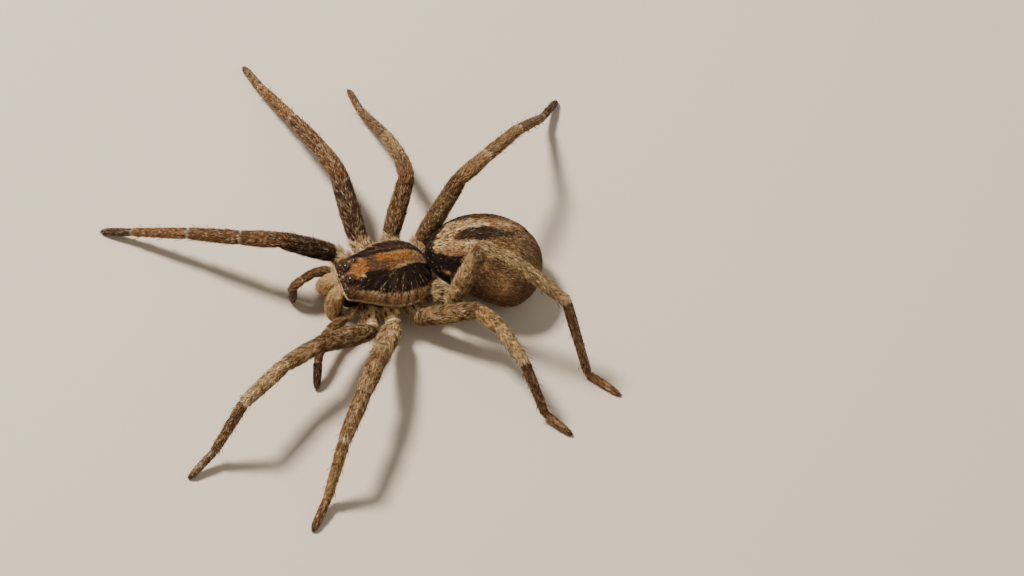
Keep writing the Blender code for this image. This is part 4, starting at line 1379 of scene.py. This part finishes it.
def eye_ball(kind, side):
    middle, extent = eye_place(kind, side)
    radius = extent.x / 2
    bm = bmesh.new()
    bmesh.ops.create_uvsphere(bm, u_segments=32, v_segments=20, radius=radius)
    x, y, z = EYE_SIGHT[kind]
    sight = (PROSOMA.to_3x3() @ Vector((x * SIGN[side], y, z))).normalized()
    turn = sight.to_track_quat("Z", "Y").to_matrix().to_4x4()
    bmesh.ops.transform(bm, matrix=Matrix.Translation(middle) @ turn, verts=bm.verts)
    ball = mesh_object(f"eye_{kind}_{side}_lens", bm, EYE)
    rim = bmesh.new()
    ring = bmesh.ops.create_circle(rim, cap_ends=False, segments=10, radius=radius * RIM_GIRTH)["verts"]
    edges = list({e for v in ring for e in v.link_edges})
    beside = Matrix.Translation((radius * RIM_REACH, 0, radius * RIM_RISE))
    bmesh.ops.transform(rim, verts=ring, matrix=beside @ Matrix.Rotation(math.pi / 2, 4, "X"))
    bmesh.ops.spin(rim, geom=ring + edges, cent=(0, 0, 0), axis=(0, 0, 1), angle=2 * math.pi, steps=32,
                   use_merge=True)
    bmesh.ops.recalc_face_normals(rim, faces=rim.faces)
    bmesh.ops.transform(rim, matrix=Matrix.Translation(middle) @ turn, verts=rim.verts)
    socket = mesh_object(f"eye_{kind}_{side}_rim", rim, RIM)
    return ball, socket


eyes = {(kind, side): eye_ball(kind, side) for kind in EYE_SIGHT for side in SIDES}
print("eyes:", len(eyes))

# %% [markdown]
# ## Fangs, claws and spines
#
# These are bare horn. The fangs are curved and pointed, folded in under the jaws. Each foot ends in
# two small hooked claws. Spines stand in loose rings along femur, tibia and metatarsus, sloping
# towards the foot. Cones would be straight, so all of them are limbs again, with a bend and a point.

# %% horn pieces
FANG = ((1.66, -6.06, -3.06), (1.45, -5.82, -3.74), (1.02, -5.46, -3.75), (0.68, -5.14, -3.64))
FANG_GIRTH = (((0.0, 0.20), (0.15, 0.30), (0.5, 0.33), (1.0, 0.29)), ((0.0, 0.28), (1.0, 0.22)),
              ((0.0, 0.21), (0.9, 0.10), (1.0, 0.0)))


def horn_limb(name, forms, grid, material):
    """One mesh of tubes rolled from limb forms."""
    for form in forms:
        form["paint"] = lambda u, turn: np.zeros((len(u), 3))
    return mesh_object(name, joined((form, grid) for form in forms), material)


fangs = {}
for side, sign in SIGN.items():
    chain = [PROSOMA @ Vector((x * sign, y, z)) for x, y, z in FANG]
    fangs[side] = horn_limb(f"fang_{side}_horn", [limb(chain, FANG_GIRTH, 1.2, 0.7)], (40, 20), HORN)

CLAW_SPREAD = 0.16         # mm to each side
CLAW_GIRTH = (((0.0, 0.12), (0.3, 0.125), (1.0, 0.115)), ((0.0, 0.11), (0.8, 0.09), (1.0, 0.0)))


def claw_forms(joints):
    """Two small hooks at the tip of a foot."""
    tip, before = Vector(joints[-1]), Vector(joints[-2])
    way = (tip - before).normalized()
    flat_way = Vector((way.x, way.y, 0)).normalized()
    aside = flat_way.cross(Vector((0, 0, 1)))
    found = []
    for sign in SIGN.values():
        start = tip - way * 0.22 * MM + aside * sign * 0.07 * MM
        bend = tip + flat_way * 0.10 * MM + aside * sign * CLAW_SPREAD * MM * 0.8
        end = tip + flat_way * 0.16 * MM + aside * sign * CLAW_SPREAD * MM
        bend.z, end.z = 0.20 * MM, 0.05 * MM
        found.append(limb([start, bend, end], CLAW_GIRTH, 1.0, 0.14))
    return found


claws = horn_limb("claws", [form for joints in LEGS.values() for form in claw_forms(joints)], (12, 8), HORN)

SPINE_ROWS = {1: (0.35, 0.75), 3: (0.25, 0.55, 0.85), 4: (0.12, 0.42, 0.80)}    # run: places along it
FEMUR_TURNS, OUTER_TURNS = (0.25, -1.2, 1.2), (-1.5, 1.5, 2.5, -2.5)
FEMUR_SPINE, OUTER_SPINE = 0.70, 0.95      # mm
SPINE_GIRTH = (((0.0, 0.115), (1.0, 0.105)), ((0.0, 0.105), (1.0, 0.0)))


def spine_forms(form):
    """Short sloping spines in loose rings along three runs of a leg."""
    found = []
    for run, parts in SPINE_ROWS.items():
        near, far = form["knots"][run:run + 2]
        turns, long = (OUTER_TURNS, OUTER_SPINE * MM) if run > 1 else (FEMUR_TURNS, FEMUR_SPINE * MM)
        for k, part in enumerate(parts):
            for j, turn in enumerate(turns):
                s = near + (part + 0.03 * ((j + k) % 3)) * (far - near)
                u = np.array([s / form["length"]])
                root, along, across, out = (Vector(v[0]) for v in directions(form, u, np.array([turn])))
                middle = Vector(form["place"](u, np.array([turn + math.pi]))[0])
                out = out if (root - middle).dot(out) > 0 else -out
                bend = root + along * long * 0.45 + out * long * 0.34
                end = root + along * long * 0.95 + out * long * 0.50
                if end.z >= 0.1 * MM:
                    foot = root - out * 0.05 * MM
                    found.append(limb([foot, bend, end], SPINE_GIRTH, 1.0, 0.3, over=out))
    return found


leg_spines = [spine for name in FORMS if name.startswith("leg") for spine in spine_forms(FORMS[name])]
spines = horn_limb("spines", leg_spines, (9, 6), SPINE)
print("spine faces:", len(spines.data.polygons), "claw faces:", len(claws.data.polygons))

# %% [markdown]
# ## Put in place
#
# The skin stands for every node of flesh, each lens for its eye and each horn fang for its fang. All
# pieces ride on the one body. The box before and after is measured, and its growth is printed. The
# coat may not change the spider's size.

# %% ride, replace and finish
flesh = [n for n in frame["nodes"] if not n.startswith(("eye_", "fang_"))]
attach(skin, "root")
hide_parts(*flesh)
for coat in coats:
    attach(coat, "root")
for (kind, side), (ball, rim) in eyes.items():
    for piece in (ball, rim):
        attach(piece, "root")
    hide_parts(f"eye_{kind}_{side}")
for side, fang in fangs.items():
    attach(fang, "root")
    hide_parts(f"fang_{side}")
for piece in (claws, spines):
    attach(piece, "root")

visual_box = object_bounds()
growth = [round((a - b) / MM, 2) for a, b in zip(visual_box[1] - visual_box[0], cad_box[1] - cad_box[0])]
print("box grows by, in mm:", growth)
